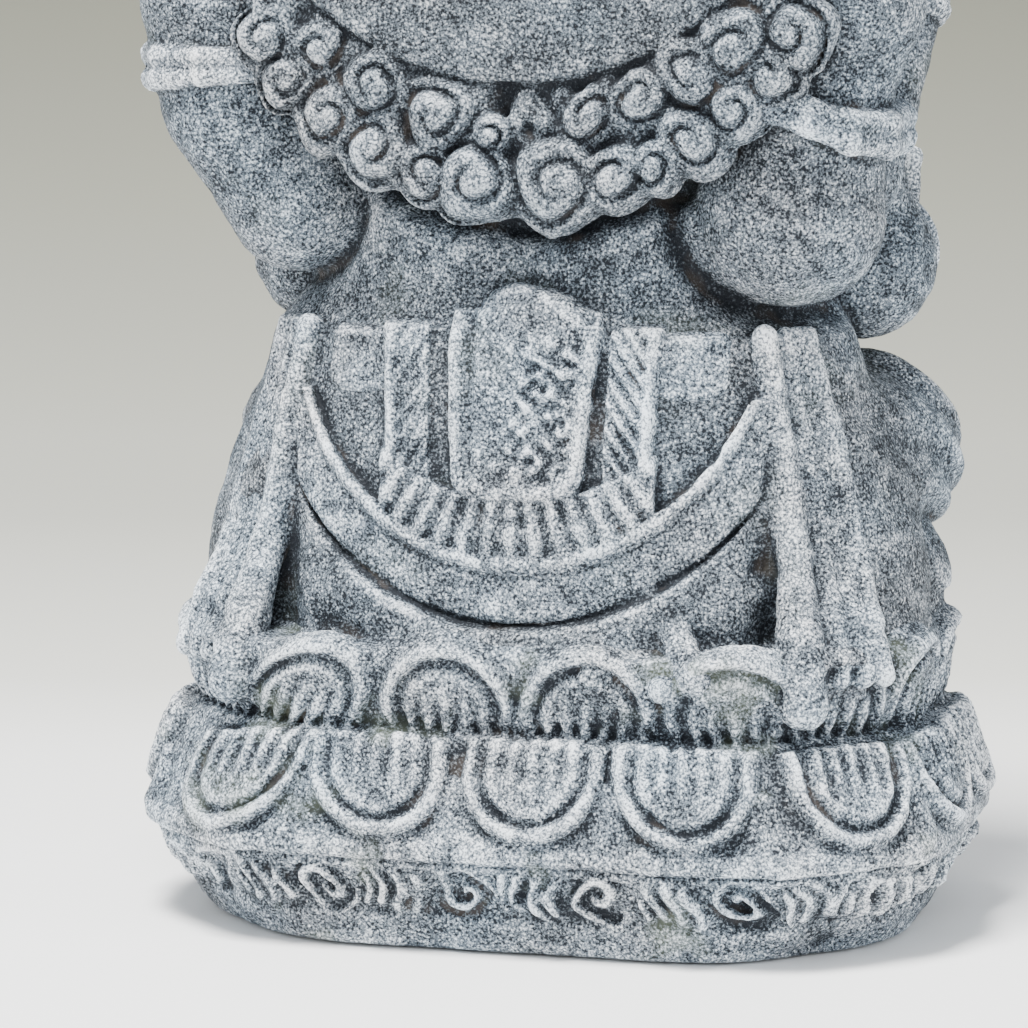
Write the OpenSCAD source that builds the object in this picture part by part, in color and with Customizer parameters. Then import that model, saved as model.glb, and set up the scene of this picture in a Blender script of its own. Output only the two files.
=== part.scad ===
// Seated four-armed elephant-headed deity on a lotus seat, modelled as its carved masses.
// +Z is up, the idol looks along -Y, its left hand is on +X, and the origin is under the middle of the plinth.

/* [Plinth and lotus seat] */
// Width of the plinth
plinth_w = 200; // [190:1:202]
// Depth of the plinth
plinth_d = 140; // [136:1:144]
// Height of the plinth, moulding included
plinth_h = 29; // [27:1:32]
// Height of the lower row of petals
lower_lotus_h = 27; // [25:1:30]
// Height of the upper row of petals
upper_lotus_h = 21; // [19:1:24]
// Distance between neighbouring petals
petal_pitch = 40; // [38:1:41]
// Thickness of the petals
petal_t = 6; // [4:0.5:7]

/* [Body] */
// Height of the body from the seat to the neck
body_h = 172; // [170:1:175]
// Half width of the hips
hip_r = 85; // [82:1:87]
// Half width of the back above the waist
torso_r = 71; // [69:1:73]
// Half width of the belly
belly_r = 57; // [54:1:60]
// Radius of a thigh
thigh_r = 31; // [28:1:33]

/* [Arms] */
// Radius of a rear elbow
rear_elbow_r = 23; // [22:1:25]
// Radius of a front elbow
front_elbow_r = 19; // [17:1:20]

/* [Head and halo] */
// Radius of the plain disc behind the head
halo_r = 79; // [76:1:80]
// Thickness of the disc
halo_t = 10; // [8:1:12]
// Half width of the head
head_r = 38; // [36:1:40]
// Height of the whole idol
total_h = 392; // [388:1:400]
// Radius of one hair curl
curl_r = 9; // [8:0.5:9.5]

/* [Hidden] */
stone = [0.42, 0.44, 0.46];
stone_light = [0.55, 0.57, 0.59];
far = 900;
left = 1;
right = -1;

lotus_z = plinth_h + lower_lotus_h;
seat_z = lotus_z + upper_lotus_h;
neck_z = seat_z + body_h;
waist_z = seat_z + 81;
moulding_h = 6;
hair_t = 12;
plinth_cut = 27;
lower_cut = 34;
upper_cut = 34;
lower_foot = [plinth_w + 12, plinth_d + 4];
lower_top = [plinth_w + 2, plinth_d - 8];
upper_foot = [plinth_w - 10, plinth_d - 14];
upper_top = [plinth_w - 2, plinth_d - 4];
lower_row_shift = 8;
upper_row_shift = 3;

hip_c = [0, 6, seat_z + 30];
hip_radii = [hip_r, 52, 114];
torso_c = [0, 2, seat_z + 94];
torso_radii = [torso_r, 47, 88];
belly_c = [0, -20, seat_z + 66];
belly_radii = [belly_r, 44, 50];

thigh_root = [56, 12, seat_z + 37];
knee = [71, -30, seat_z + 42];
shin_top = [82, -16, seat_z + 13];
ankle = [17, -55, seat_z + 13];
shin_r = 16;

rear_shoulder = [84, 27, neck_z - 9];
rear_shoulder_r = 23;
rear_elbow = [65, 25, seat_z + 110];
rear_forearm_root = [74, 8, seat_z + 114];
rear_wrist = [89.5, -10, neck_z - 2];
rear_hand_c = [92.5, -14, neck_z + 17];
raised_lean = 5;
front_shoulder = [64, -10, neck_z - 26];
front_elbow = [73, -22, seat_z + 94];
front_wrist = [75, -47, seat_z + 96];
front_hand_c = [73, -57, seat_z + 105];

head_c = [0, -8, neck_z + 44];
head_radii = [head_r, 38, 44];
halo_z = neck_z + 50;
halo_y = 50;
crown_z = neck_z + 72;
crown_c = [0, -6, crown_z];
finial_h = 16;

function side(s, p) = [s * p[0], p[1], p[2]];
// Both raised hands lean a little towards the idol's left.
function raised(s, p) = side(s, p) + [raised_lean, 0, 0];
function between(a, b, t) = a + (b - a) * t;
function arc(cx, cy, rx, ry, from, to, steps) =
  [for (i = [0:steps]) let (t = from + (to - from) * i / steps) [cx + rx * cos(t), cy + ry * sin(t)]];

// Everything on the side of a plane that its normal points to.
module half_space(point, normal) {
  translate(point)
    rotate([0, acos(normal[2] / norm(normal)), atan2(normal[1], normal[0])])
      translate([-far, -far, 0]) cube([2 * far, 2 * far, far]);
}

module layer(low, high) {
  translate([-far / 2, -far / 2, low]) cube([far, far, high - low]);
}

module blob(centre, radii) {
  translate(centre) scale(radii) sphere(r = 1, $fn = 64);
}

module hip_blob() {
  blob(hip_c, hip_radii);
}

module torso_blob() {
  blob(torso_c, torso_radii);
}

module head_blob() {
  blob(head_c, head_radii);
}

// A round limb from a to b, its two ends rounded and its side tangent to both.
module limb(a, b, ra, rb) {
  d = b - a;
  tangent = asin((ra - rb) / norm(d));
  profile = concat(
    arc(0, 0, ra, ra, -90, tangent, 9), arc(0, norm(d), rb, rb, tangent, 90, 7)
  );
  translate(a)
    rotate([0, acos(d[2] / norm(d)), atan2(d[1], d[0])])
      rotate_extrude($fn = 48) polygon([for (p = profile) [max(p[0], 0), p[1]]]);
}

// A flat ring round the line from a towards b.
module cuff(a, b, r, hole, width) {
  d = b - a;
  translate(a)
    rotate([0, acos(d[2] / norm(d)), atan2(d[1], d[0])])
      difference() {
        cylinder(r = r, h = width, center = true, $fn = 48);
        cylinder(r = hole, h = width + 2, center = true, $fn = 48);
      }
}

// A round boss with a ring groove, for hair curls and the bosses of the frieze.
module curl(r, h) {
  rotate_extrude($fn = 40)
    polygon([[0, 0], [r, 0], [r, h * 0.5], [r * 0.84, h], [r * 0.64, h], [r * 0.54, h * 0.5],
      [r * 0.42, h * 0.5], [r * 0.28, h], [0, h]]);
}

function octagon(w, d, c) = [
  [w / 2 - c, -d / 2], [w / 2, c - d / 2], [w / 2, d / 2 - c], [w / 2 - c, d / 2],
  [c - w / 2, d / 2], [-w / 2, d / 2 - c], [-w / 2, c - d / 2], [c - w / 2, -d / 2]
];

module octagon_block(w, d, c, z, h) {
  translate([0, 0, z]) linear_extrude(h) polygon(octagon(w, d, c));
}

// A block with cut corners that changes size from foot to top.
module octagon_taper(foot, top, c, z, h) {
  low = [for (p = octagon(foot[0], foot[1], c)) [p[0], p[1], z]];
  high = [for (p = octagon(top[0], top[1], c)) [p[0], p[1], z + h]];
  walls = [for (i = [0:7]) [i, i + 8, (i + 1) % 8 + 8, (i + 1) % 8]];
  polyhedron(concat(low, high), concat([[for (i = [0:7]) i]], [[for (i = [7:-1:0]) i + 8]], walls));
}

module upper_core() {
  octagon_taper(upper_foot, upper_top, upper_cut, lotus_z, upper_lotus_h);
}

// How far a face that looks along angle a is from the axis: 0 is the front, 45 a cut corner.
function face_d(size, c, a) =
  a % 90 != 0 ? (size[0] / 2 + size[1] / 2 - c) / sqrt(2) : (a % 180 == 0 ? size[1] : size[0]) / 2;

// How far the middle of a cut corner is from the point of its face nearest the axis.
function face_shift(size, a) = a % 90 == 0 ? 0 : (a % 180 == 45 ? 1 : -1) * (size[0] - size[1]) / 2 / sqrt(2);

// Stands its children on a leaning face: x runs along the face, y up it and z out of it.
module on_face(a, foot, top, c, z, h) {
  lean = atan2(face_d(foot, c, a) - face_d(top, c, a), h);
  rotate([0, 0, a])
    translate([face_shift(foot, a), -face_d(foot, c, a), z])
      rotate([90 - lean, 0, 0])
        children();
}

// A petal's outline, with its round end at the bottom and its middle on x = 0.
function petal_outline(w, h, inset) = let (r = w / 2 - inset) concat(
  arc(0, w / 2, r, r, 180, 360, 12), [[r * 0.9, h], [-r * 0.9, h]]
);

// A petal with a raised rim and a raised tongue.
module petal(w, h, t) {
  rim = 3.5;
  relief = 1.5;
  linear_extrude(t - relief) polygon(petal_outline(w, h, 0));
  translate([0, 0, t - relief]) linear_extrude(relief) {
    difference() {
      polygon(petal_outline(w, h, 0));
      polygon(petal_outline(w, h + 1, rim));
    }
    polygon(petal_outline(w, h, 2.2 * rim));
  }
}

long_faces = [0, 180];
short_faces = [90, 270];
corner_faces = [45, 135, 225, 315];
lower_rows = concat(
  [for (a = long_faces) [a, [-1, 0, 1], lower_row_shift]],
  [for (a = short_faces) [a, [-0.5, 0.5], 0]],
  [for (a = corner_faces) [a, [0], 0]]
);
upper_rows = concat(
  [for (a = long_faces) [a, [-1.5, -0.5, 0.5, 1.5], upper_row_shift]],
  [for (a = short_faces) [a, [-0.5, 0.5], 0]],
  [for (a = corner_faces) [a, [0], 0]]
);
tip_rows = concat([for (a = long_faces) [a, [-0.5, 0.5], lower_row_shift]], [for (a = short_faces) [a, [0], 0]]);

module plinth() color(stone) {
  octagon_block(plinth_w, plinth_d, plinth_cut, 0, plinth_h - moulding_h);
}

module plinth_moulding() color(stone_light) {
  octagon_block(plinth_w + 5, plinth_d + 5, plinth_cut, plinth_h - moulding_h, moulding_h);
}

// Grooved bosses and pairs of upright bars along each face.
module plinth_frieze() color(stone_light) {
  motif_w = 36;
  relief = 2;
  rows = concat([for (a = long_faces) [a, plinth_d, 4]], [for (a = short_faces) [a, plinth_w, 2]]);
  for (row = rows, i = [0:row[2] - 1])
    rotate([0, 0, row[0]])
      translate([(i - (row[2] - 1) / 2) * motif_w, -row[1] / 2, (plinth_h - moulding_h) / 2]) {
        translate([-8, 0, 0]) rotate([90, 0, 0]) curl(7.5, relief);
        for (bar = [3, 10]) translate([bar, -relief, -7]) cube([4, relief, 14]);
      }
}

module lotus_core_lower() color(stone) {
  octagon_taper(lower_foot, lower_top, lower_cut, plinth_h, lower_lotus_h);
}

module lotus_core_upper() color(stone) {
  upper_core();
}

module lower_petals() color(stone_light) {
  for (row = lower_rows, at = row[1])
    on_face(row[0], lower_foot, lower_top, lower_cut, plinth_h, lower_lotus_h)
      translate([at * petal_pitch + row[2], 1, 0]) petal(petal_pitch - 5, lower_lotus_h - 2, petal_t);
}

module lower_petal_tips() color(stone) {
  for (row = tip_rows, at = row[1])
    on_face(row[0], lower_foot, lower_top, lower_cut, plinth_h, lower_lotus_h)
      translate([at * petal_pitch + row[2], 1, 0]) linear_extrude(petal_t / 2) polygon([[-8, 0], [8, 0], [0, 9]]);
}

module upper_petals() color(stone_light) {
  for (row = upper_rows, at = row[1])
    on_face(row[0], upper_foot, upper_top, upper_cut, lotus_z, upper_lotus_h)
      translate([at * (petal_pitch - 3) + row[2], upper_lotus_h, 0])
        mirror([0, 1, 0]) petal(petal_pitch - 11, upper_lotus_h - 1, petal_t - 1);
}

module hips() color(stone) {
  intersection() {
    hip_blob();
    layer(seat_z, waist_z);
  }
}

module torso() color(stone) {
  intersection() {
    torso_blob();
    layer(waist_z, far);
  }
}

module belly() color(stone) {
  difference() {
    blob(belly_c, belly_radii);
    hip_blob();
    torso_blob();
  }
}

module leg(s) {
  limb(side(s, thigh_root), side(s, knee), thigh_r, thigh_r - 3);
}

module thigh(s) color(stone) {
  difference() {
    leg(s);
    hip_blob();
    blob(belly_c, belly_radii);
    layer(-far, seat_z);
  }
}
module left_thigh() { thigh(left); }
module right_thigh() { thigh(right); }

// The folded leg under the thigh, running in from the knee to the crossed ankles.
module shin(s) color(stone) {
  difference() {
    limb(side(s, shin_top), side(s, ankle), shin_r, shin_r - 4);
    hip_blob();
    blob(belly_c, belly_radii);
    half_space([s * 7, 0, 0], [-s, 0, 0]);
    layer(-far, seat_z);
    leg(s);
  }
}
module left_shin() { shin(left); }
module right_shin() { shin(right); }

module foot(s) color(stone_light) {
  intersection() {
    limb([s * 4, -57, seat_z + 10], [-s * 5, -57, seat_z + 10], 10, 8);
    half_space([s * 7, 0, 0], [-s, 0, 0]);
    half_space([0, 0, 0], [s, 0, 0]);
    half_space([0, -49, 0], [0, -1, 0]);
    layer(seat_z, neck_z);
  }
}
module left_foot() { foot(left); }
module right_foot() { foot(right); }

// A strip of the sash that hangs beside each hip, over the edge of the seat.
module side_fall(s) color(stone_light) {
  drop = 76;
  outline = concat(
    [[64, waist_z - 1], [56, waist_z - 3], [61, seat_z + 44], [66, seat_z + 12]],
    arc(79, seat_z - 8, 9, 8, 180, 360, 12),
    [[88, seat_z + 20], [82, seat_z + 50], [71, waist_z - 8]]
  );
  difference() {
    intersection() {
      translate([0, drop, 0]) rotate([90, 0, 0]) linear_extrude(drop)
        polygon([for (p = outline) [s * p[0], p[1]]]);
      blob(hip_c, hip_radii + [8, 8, 8]);
    }
    hip_blob();
    torso_blob();
    leg(s);
    upper_core();
  }
}
module left_side_fall() { side_fall(left); }
module right_side_fall() { side_fall(right); }

// A crescent between two arcs whose lowest points are at z_in and z_out.
function crescent(z_in, r_in, z_out, r_out, reach) = concat(
  arc(0, z_out + r_out, r_out, r_out, 270 - asin(reach / r_out), 270 + asin(reach / r_out), 20),
  arc(0, z_in + r_in, r_in, r_in, 270 + asin(reach / r_in), 270 - asin(reach / r_in), 20)
);

// Cut from a layer just outside the hips, so that it follows their curve.
module on_hips(thick) {
  difference() {
    intersection() {
      blob(hip_c, hip_radii + [thick, thick, thick]);
      translate([0, far, 0]) rotate([90, 0, 0]) linear_extrude(far) children();
    }
    hip_blob();
  }
}

module hip_sash() color(stone_light) {
  on_hips(4) polygon(crescent(seat_z + 23.5, 72, seat_z + 7, 72, 57));
}

module sash_fringe() color(stone) {
  on_hips(3) polygon(crescent(seat_z + 35, 48, seat_z + 24.5, 46, 31));
}

module back_panel() color(stone_light) {
  on_hips(4) polygon([[-20, waist_z], [20, waist_z], [17, seat_z + 40], [-17, seat_z + 40]]);
}

module panel_cords() color(stone) {
  on_hips(3.5) for (s = [left, right])
    polygon([[s * 23, waist_z - 1], [s * 34, waist_z - 1], [s * 33, seat_z + 48], [s * 21, seat_z + 41]]);
}

module sash_knot() color(stone_light) {
  difference() {
    translate([-6, 46, waist_z + 7]) rotate([0, -12, 0]) rotate([-90, 0, 0]) linear_extrude(14, center = true)
      polygon(arc(0, 0, 12, 6, 0, 345, 23));
    torso_blob();
  }
}

module hip_clasps() color(stone_light) {
  on_hips(3) for (s = [left, right])
    polygon([[s * 37, waist_z - 2], [s * 51, waist_z - 2], [s * 51, waist_z - 17], [s * 37, waist_z - 17]]);
}

module sash_ends() color(stone_light) {
  on_hips(3) {
    polygon([[-32, seat_z + 13], [-37, seat_z + 9], [-29, seat_z], [-21, seat_z]]);
    polygon([[-39, seat_z + 10], [-44, seat_z + 13], [-58, seat_z], [-48, seat_z]]);
  }
}

module rear_upper_arm_space(s) {
  limb(side(s, rear_shoulder), side(s, rear_elbow), rear_shoulder_r, rear_elbow_r);
}

module rear_forearm_space(s) {
  limb(side(s, rear_forearm_root), raised(s, rear_wrist), 18, 14);
}

module front_upper_arm_space(s) {
  limb(side(s, front_shoulder), side(s, front_elbow), 20, front_elbow_r);
}

module rear_upper_arm(s) color(stone) {
  difference() {
    rear_upper_arm_space(s);
    torso_blob();
    hip_blob();
    hair_block();
    halo_block();
  }
}
module left_rear_upper_arm() { rear_upper_arm(left); }
module right_rear_upper_arm() { rear_upper_arm(right); }

module rear_forearm(s) color(stone) {
  difference() {
    rear_forearm_space(s);
    rear_upper_arm_space(s);
    torso_blob();
    half_space(raised(s, rear_wrist), raised(s, rear_wrist) - side(s, rear_forearm_root));
  }
}
module left_rear_forearm() { rear_forearm(left); }
module right_rear_forearm() { rear_forearm(right); }

module rear_hand(s) color(stone_light) {
  difference() {
    blob(raised(s, rear_hand_c), [13, 13, 18]);
    half_space(raised(s, rear_wrist), side(s, rear_forearm_root) - raised(s, rear_wrist));
    translate(raised(s, rear_hand_c)) cylinder(r = 4, h = 60, center = true, $fn = 32);
    rear_upper_arm_space(s);
  }
}
module left_rear_hand() { rear_hand(left); }
module right_rear_hand() { rear_hand(right); }

module front_upper_arm(s) color(stone) {
  difference() {
    front_upper_arm_space(s);
    torso_blob();
    hip_blob();
    rear_upper_arm_space(s);
    rear_forearm_space(s);
  }
}
module left_front_upper_arm() { front_upper_arm(left); }
module right_front_upper_arm() { front_upper_arm(right); }

module front_forearm(s) color(stone) {
  difference() {
    limb(side(s, front_elbow), side(s, front_wrist), front_elbow_r - 2, 13);
    front_upper_arm_space(s);
    half_space(side(s, front_wrist), side(s, front_wrist - front_elbow));
    torso_blob();
    hip_blob();
    leg(s);
  }
}
module left_front_forearm() { front_forearm(left); }
module right_front_forearm() { front_forearm(right); }

// The right hand is held up, palm forward.
module right_front_hand() color(stone_light) {
  difference() {
    blob(side(right, front_hand_c), [12, 10, 19]);
    half_space(side(right, front_wrist), side(right, front_elbow - front_wrist));
  }
}

// The left hand lies open under the bowl.
module left_front_hand() color(stone_light) {
  difference() {
    blob(side(left, front_hand_c) - [0, 2, 8], [13, 15, 8]);
    half_space(side(left, front_wrist), side(left, front_elbow - front_wrist));
    layer(front_hand_c[2] - 6, far);
  }
}

module sweets_bowl() color(stone_light) {
  bowl_h = 9;
  sweet_r = 4.2;
  translate(side(left, front_hand_c) - [0, 2, 6]) {
    cylinder(r1 = 9, r2 = 15, h = bowl_h, $fn = 48);
    for (a = [0:72:288]) rotate([0, 0, a]) translate([9, 0, bowl_h + 1]) sphere(r = sweet_r, $fn = 32);
    translate([0, 0, bowl_h + 3]) sphere(r = sweet_r + 0.6, $fn = 32);
  }
}

module armlets() color(stone_light) {
  at = 0.56;
  hole = between(rear_elbow_r, rear_shoulder_r, at) + 0.3;
  for (s = [left, right])
    difference() {
      cuff(between(side(s, rear_elbow), side(s, rear_shoulder), at), side(s, rear_shoulder), hole + 3, hole, 8);
      torso_blob();
      hair_block();
      halo_block();
      front_upper_arm_space(s);
      rear_forearm_space(s);
    }
}

module bracelets() color(stone_light) {
  for (s = [left, right]) {
    difference() {
      cuff(between(side(s, rear_forearm_root), raised(s, rear_wrist), 0.88), raised(s, rear_wrist), 17, 14.7, 6);
      rear_upper_arm_space(s);
    }
    cuff(between(side(s, front_elbow), side(s, front_wrist), 0.82), side(s, front_wrist), 16, 14, 5);
  }
}

module anklets() color(stone_light) {
  for (s = [left, right])
    difference() {
      cuff(between(side(s, ankle), side(s, shin_top), 0.2), side(s, shin_top), 15.5, 13, 5);
      layer(-far, seat_z);
      hip_blob();
      blob(belly_c, belly_radii);
    }
}

module necklace() color(stone_light) {
  difference() {
    intersection() {
      blob(torso_c, torso_radii + [3, 3, 3]);
      rotate([90, 0, 0]) linear_extrude(far)
        polygon(crescent(neck_z - 38, 36, neck_z - 50, 46, 33));
    }
    torso_blob();
  }
}

// The thread round the belly.
module sacred_thread() color(stone_light) {
  difference() {
    intersection() {
      blob(belly_c, belly_radii + [3, 3, 3]);
      layer(seat_z + 62, seat_z + 69);
    }
    blob(belly_c, belly_radii);
    hip_blob();
    for (s = [left, right]) leg(s);
  }
}

// The space that the disc behind the head takes up.
module halo_block() {
  translate([0, halo_y, halo_z]) rotate([-90, 0, 0]) cylinder(r = halo_r, h = 2 * halo_t, $fn = 96);
}

// The crescent of hair that the curls stand on: wide under the disc and narrow at its ends.
module hair_block() {
  translate([0, halo_y, 0]) rotate([90, 0, 0]) linear_extrude(hair_t)
    polygon(concat(
      arc(0, halo_z, halo_r + 11, halo_r + 38, 270 - 54, 270 + 54, 28),
      arc(0, halo_z, halo_r - 8, halo_r - 8, 270 + 54, 270 - 54, 28)
    ));
}

module hair_mantle() color(stone) {
  difference() {
    hair_block();
    torso_blob();
  }
}

module curl_row(rx, rz, count, spread, r) {
  for (i = [0:count - 1]) {
    a = -spread + 2 * spread * i / (count - 1);
    translate([rx * sin(a), halo_y, halo_z - rz * cos(a)]) rotate([-90, 0, 0]) curl(r, 7);
  }
}

module hair_curls_inner() color(stone_light) {
  ring = halo_r + curl_r + 0.5;
  curl_row(ring, ring, 8, 43, curl_r);
}

module hair_curls_outer() color(stone_light) {
  curl_row(halo_r, halo_r + 3 * curl_r + 2, 5, 27, curl_r - 1.5);
}

module neck() color(stone) {
  difference() {
    translate([0, -4, neck_z - 12]) cylinder(r = 29, h = 24, $fn = 64);
    torso_blob();
    head_blob();
  }
}

module head() color(stone) {
  difference() {
    head_blob();
    torso_blob();
    layer(crown_z, far);
  }
}

// The trunk hangs down the middle and curls to the idol's left, towards the bowl.
trunk_line = [
  [0, -40, neck_z + 38], [0, -51, neck_z + 16], [0, -58, neck_z - 8], [3, -61, neck_z - 32],
  [14, -63, neck_z - 51], [30, -64, neck_z - 58], [44, -64, neck_z - 51]
];
trunk_r = [16, 14, 12.5, 11, 9.5, 8.5, 7.5];

module trunk() color(stone) {
  difference() {
    union() {
      for (i = [0:len(trunk_line) - 2]) hull() {
        translate(trunk_line[i]) sphere(r = trunk_r[i], $fn = 18);
        translate(trunk_line[i + 1]) sphere(r = trunk_r[i + 1], $fn = 18);
      }
    }
    head_blob();
    blob(belly_c, belly_radii);
    torso_blob();
  }
}

module ear(s) color(stone) {
  outline = concat(
    arc(s * 52, neck_z + 50, 26, 26, 0, 180, 18), arc(s * 52, neck_z + 50, 26, 38, 180, 360, 18)
  );
  difference() {
    translate([0, 16, 0]) rotate([90, 0, 0]) linear_extrude(9) polygon(outline);
    head_blob();
    for (t = [left, right]) rear_upper_arm_space(t);
  }
}
module left_ear() { ear(left); }
module right_ear() { ear(right); }

// The idol's left tusk is broken short.
module tusk(s, length) color(stone_light) {
  difference() {
    translate(side(s, [18, -36, neck_z + 18])) rotate([118, 0, s * 14])
      cylinder(r1 = 5, r2 = s == left ? 3.6 : 2.2, h = length, $fn = 32);
    head_blob();
  }
}
module left_tusk() { tusk(left, 14); }
module right_tusk() { tusk(right, 28); }

module crown_band() color(stone_light) {
  translate(crown_c) cylinder(r = 36, h = 9, $fn = 64);
}

module crown_tiers() color(stone) {
  tiers = 4;
  tier_h = (total_h - finial_h - crown_z - 9) / tiers;
  translate(crown_c + [0, 0, 9]) rotate_extrude($fn = 64)
    polygon(concat(
      [[0, 0]],
      [for (i = [0:tiers - 1], p = [[33, 0], [34, 0.45], [28, 1]]) [p[0] - i * 6.5, (i + p[1]) * tier_h]],
      [[0, tiers * tier_h]]
    ));
}

module crown_finial() color(stone_light) {
  translate([crown_c[0], crown_c[1], total_h - finial_h]) rotate_extrude($fn = 48)
    polygon([[0, 0], [7, 0], [9, 5], [7, 9], [3, 12], [0, finial_h]]);
}

// The back of the disc is slightly domed.
module halo() color(stone) {
  step = halo_t - 3;
  translate([0, halo_y, halo_z]) rotate([-90, 0, 0]) rotate_extrude($fn = 96)
    polygon([
      [0, 0], [halo_r - 2, 0], [halo_r, 2], [halo_r, step - 1], [halo_r - 4, step], [halo_r / 2, halo_t - 1],
      [0, halo_t]
    ]);
}

module axe() color(stone_light) {
  c = raised(right, rear_hand_c);
  translate(c - [0, 0, 22]) cylinder(r = 4, h = 80, $fn = 32);
  translate(c + [0, 0, 34]) rotate([90, 0, 0]) linear_extrude(6, center = true)
    polygon(concat([[-2, -7], [-2, 7]], arc(-4, 0, 16, 15, 100, 260, 16)));
}

module noose() color(stone_light) {
  c = raised(left, rear_hand_c);
  loop_c = c + [-6, 0, 34];
  translate(c - [0, 0, 20]) cylinder(r = 4, h = 38, $fn = 32);
  translate(loop_c) rotate([90, 0, 0])
    rotate_extrude($fn = 48) translate([16, 0]) circle(r = 4, $fn = 24);
}

plinth();
plinth_moulding();
plinth_frieze();
lotus_core_lower();
lotus_core_upper();
lower_petals();
lower_petal_tips();
upper_petals();
hips();
torso();
belly();
left_thigh();
right_thigh();
left_shin();
right_shin();
left_foot();
right_foot();
left_side_fall();
right_side_fall();
hip_sash();
sash_fringe();
back_panel();
panel_cords();
sash_knot();
hip_clasps();
sash_ends();
left_rear_upper_arm();
right_rear_upper_arm();
left_rear_forearm();
right_rear_forearm();
left_rear_hand();
right_rear_hand();
left_front_upper_arm();
right_front_upper_arm();
left_front_forearm();
right_front_forearm();
left_front_hand();
right_front_hand();
armlets();
bracelets();
anklets();
necklace();
sacred_thread();
hair_mantle();
hair_curls_inner();
hair_curls_outer();
neck();
head();
trunk();
left_ear();
right_ear();
left_tusk();
right_tusk();
crown_band();
crown_tiers();
crown_finial();
halo();
axe();
noose();
sweets_bowl();
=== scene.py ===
"""Looks of the seated stone idol: one continuous stone, split into pieces along the CAD's masses.

All shapes are signed distance fields in millimetres, in the CAD's frame: negative inside, +Z up.
The idol faces -Y.
"""

import math
from functools import reduce
from itertools import product

import bpy
import numpy as np
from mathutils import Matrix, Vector


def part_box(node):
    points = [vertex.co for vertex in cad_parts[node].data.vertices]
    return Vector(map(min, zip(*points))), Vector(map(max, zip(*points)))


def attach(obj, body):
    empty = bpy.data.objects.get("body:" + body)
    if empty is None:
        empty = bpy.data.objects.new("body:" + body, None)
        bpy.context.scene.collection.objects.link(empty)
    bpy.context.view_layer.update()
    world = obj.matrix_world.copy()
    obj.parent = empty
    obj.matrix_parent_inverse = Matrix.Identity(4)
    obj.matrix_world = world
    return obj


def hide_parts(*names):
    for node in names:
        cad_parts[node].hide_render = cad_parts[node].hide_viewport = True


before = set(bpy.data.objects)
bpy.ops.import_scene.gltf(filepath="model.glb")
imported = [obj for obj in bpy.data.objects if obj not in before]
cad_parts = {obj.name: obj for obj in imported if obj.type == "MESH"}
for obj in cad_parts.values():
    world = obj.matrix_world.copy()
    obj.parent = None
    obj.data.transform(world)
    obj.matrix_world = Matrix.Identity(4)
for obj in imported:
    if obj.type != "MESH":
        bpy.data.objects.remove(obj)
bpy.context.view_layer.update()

MM = 0.001
LEFT, RIGHT = 1, -1
FAR = 50.0
MARGIN = 5.0
SEAM_SLOPE = 0.5
SEAM_DEPTH = 2.0
VOXEL = 0.9


# ---------------------------------------------------------------- sizes, read from the frame


def box_mm(node):
    low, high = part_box(node)
    return np.array(low) / MM, np.array(high) / MM


PLINTH_W, PLINTH_D, PLINTH_TOP = (box_mm("plinth_moulding")[1] * [2, 2, 1]) - [5, 5, 0]
LOTUS_Z = box_mm("lotus_core_lower")[1][2]
SEAT_Z = box_mm("lotus_core_upper")[1][2]
WAIST_Z = box_mm("hips")[1][2]
HALO_LOW, HALO_HIGH = box_mm("halo")
HALO_R = (HALO_HIGH[2] - HALO_LOW[2]) / 2
HALO_Z = (HALO_HIGH[2] + HALO_LOW[2]) / 2
HALO_Y = HALO_LOW[1]
NECK_Z = HALO_Z - 50
TOTAL_H = box_mm("crown_finial")[1][2]


# ---------------------------------------------------------------- fields


def smin(a, b, k):
    h = np.maximum(k - np.abs(a - b), 0) / k
    return np.minimum(a, b) - h * h * k * 0.25


def smax(a, b, k):
    return -smin(-a, -b, k)


def union(fields, k=0):
    """All the fields as one, smoothed by k where two meet."""
    return reduce(lambda a, b: smin(a, b, k) if k else np.minimum(a, b), fields)


def clamp01(v):
    return np.clip(v, 0, 1)


def ramp(v, low, high):
    t = clamp01((v - low) / (high - low))
    return t * t * (3 - 2 * t)


def bell(v, width):
    return np.exp(-((v / width) ** 2))


def shift(P, c):
    return P[0] - c[0], P[1] - c[1], P[2] - c[2]


def turn(P, axis, degrees):
    """Turns the point into a frame that is rotated by degrees about one axis."""
    c, s = math.cos(math.radians(degrees)), math.sin(math.radians(degrees))
    x, y, z = P
    if axis == "x":
        return x, y * c + z * s, z * c - y * s
    if axis == "y":
        return x * c - z * s, y, z * c + x * s
    return x * c + y * s, y * c - x * s, z


def length(*parts):
    total = parts[0] ** 2
    for p in parts[1:]:
        total = total + p**2
    return np.sqrt(total)


def ball(P, c, r):
    return length(*shift(P, c)) - r


def ellipsoid(P, c, r):
    x, y, z = shift(P, c)
    k0 = length(x / r[0], y / r[1], z / r[2])
    k1 = length(x / r[0] ** 2, y / r[1] ** 2, z / r[2] ** 2)
    return k0 * (k0 - 1) / np.maximum(k1, 1e-6)


def limb(P, a, b, ra, rb):
    """A tapered capsule from a to b, and how far along it each point is."""
    a, b = np.array(a, float), np.array(b, float)
    d = b - a
    x, y, z = shift(P, a)
    t = clamp01((x * d[0] + y * d[1] + z * d[2]) / d.dot(d))
    return length(x - t * d[0], y - t * d[1], z - t * d[2]) - (ra + (rb - ra) * t), t


def capsule(P, a, b, ra, rb=None):
    return limb(P, a, b, ra, ra if rb is None else rb)[0]


def chain(P, points, radii, k=2.0):
    """Tapered capsules from each point to the next."""
    ends = list(zip(points, radii))
    return union([capsule(P, a, b, ra, rb) for (a, ra), (b, rb) in zip(ends, ends[1:])], k)


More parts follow.
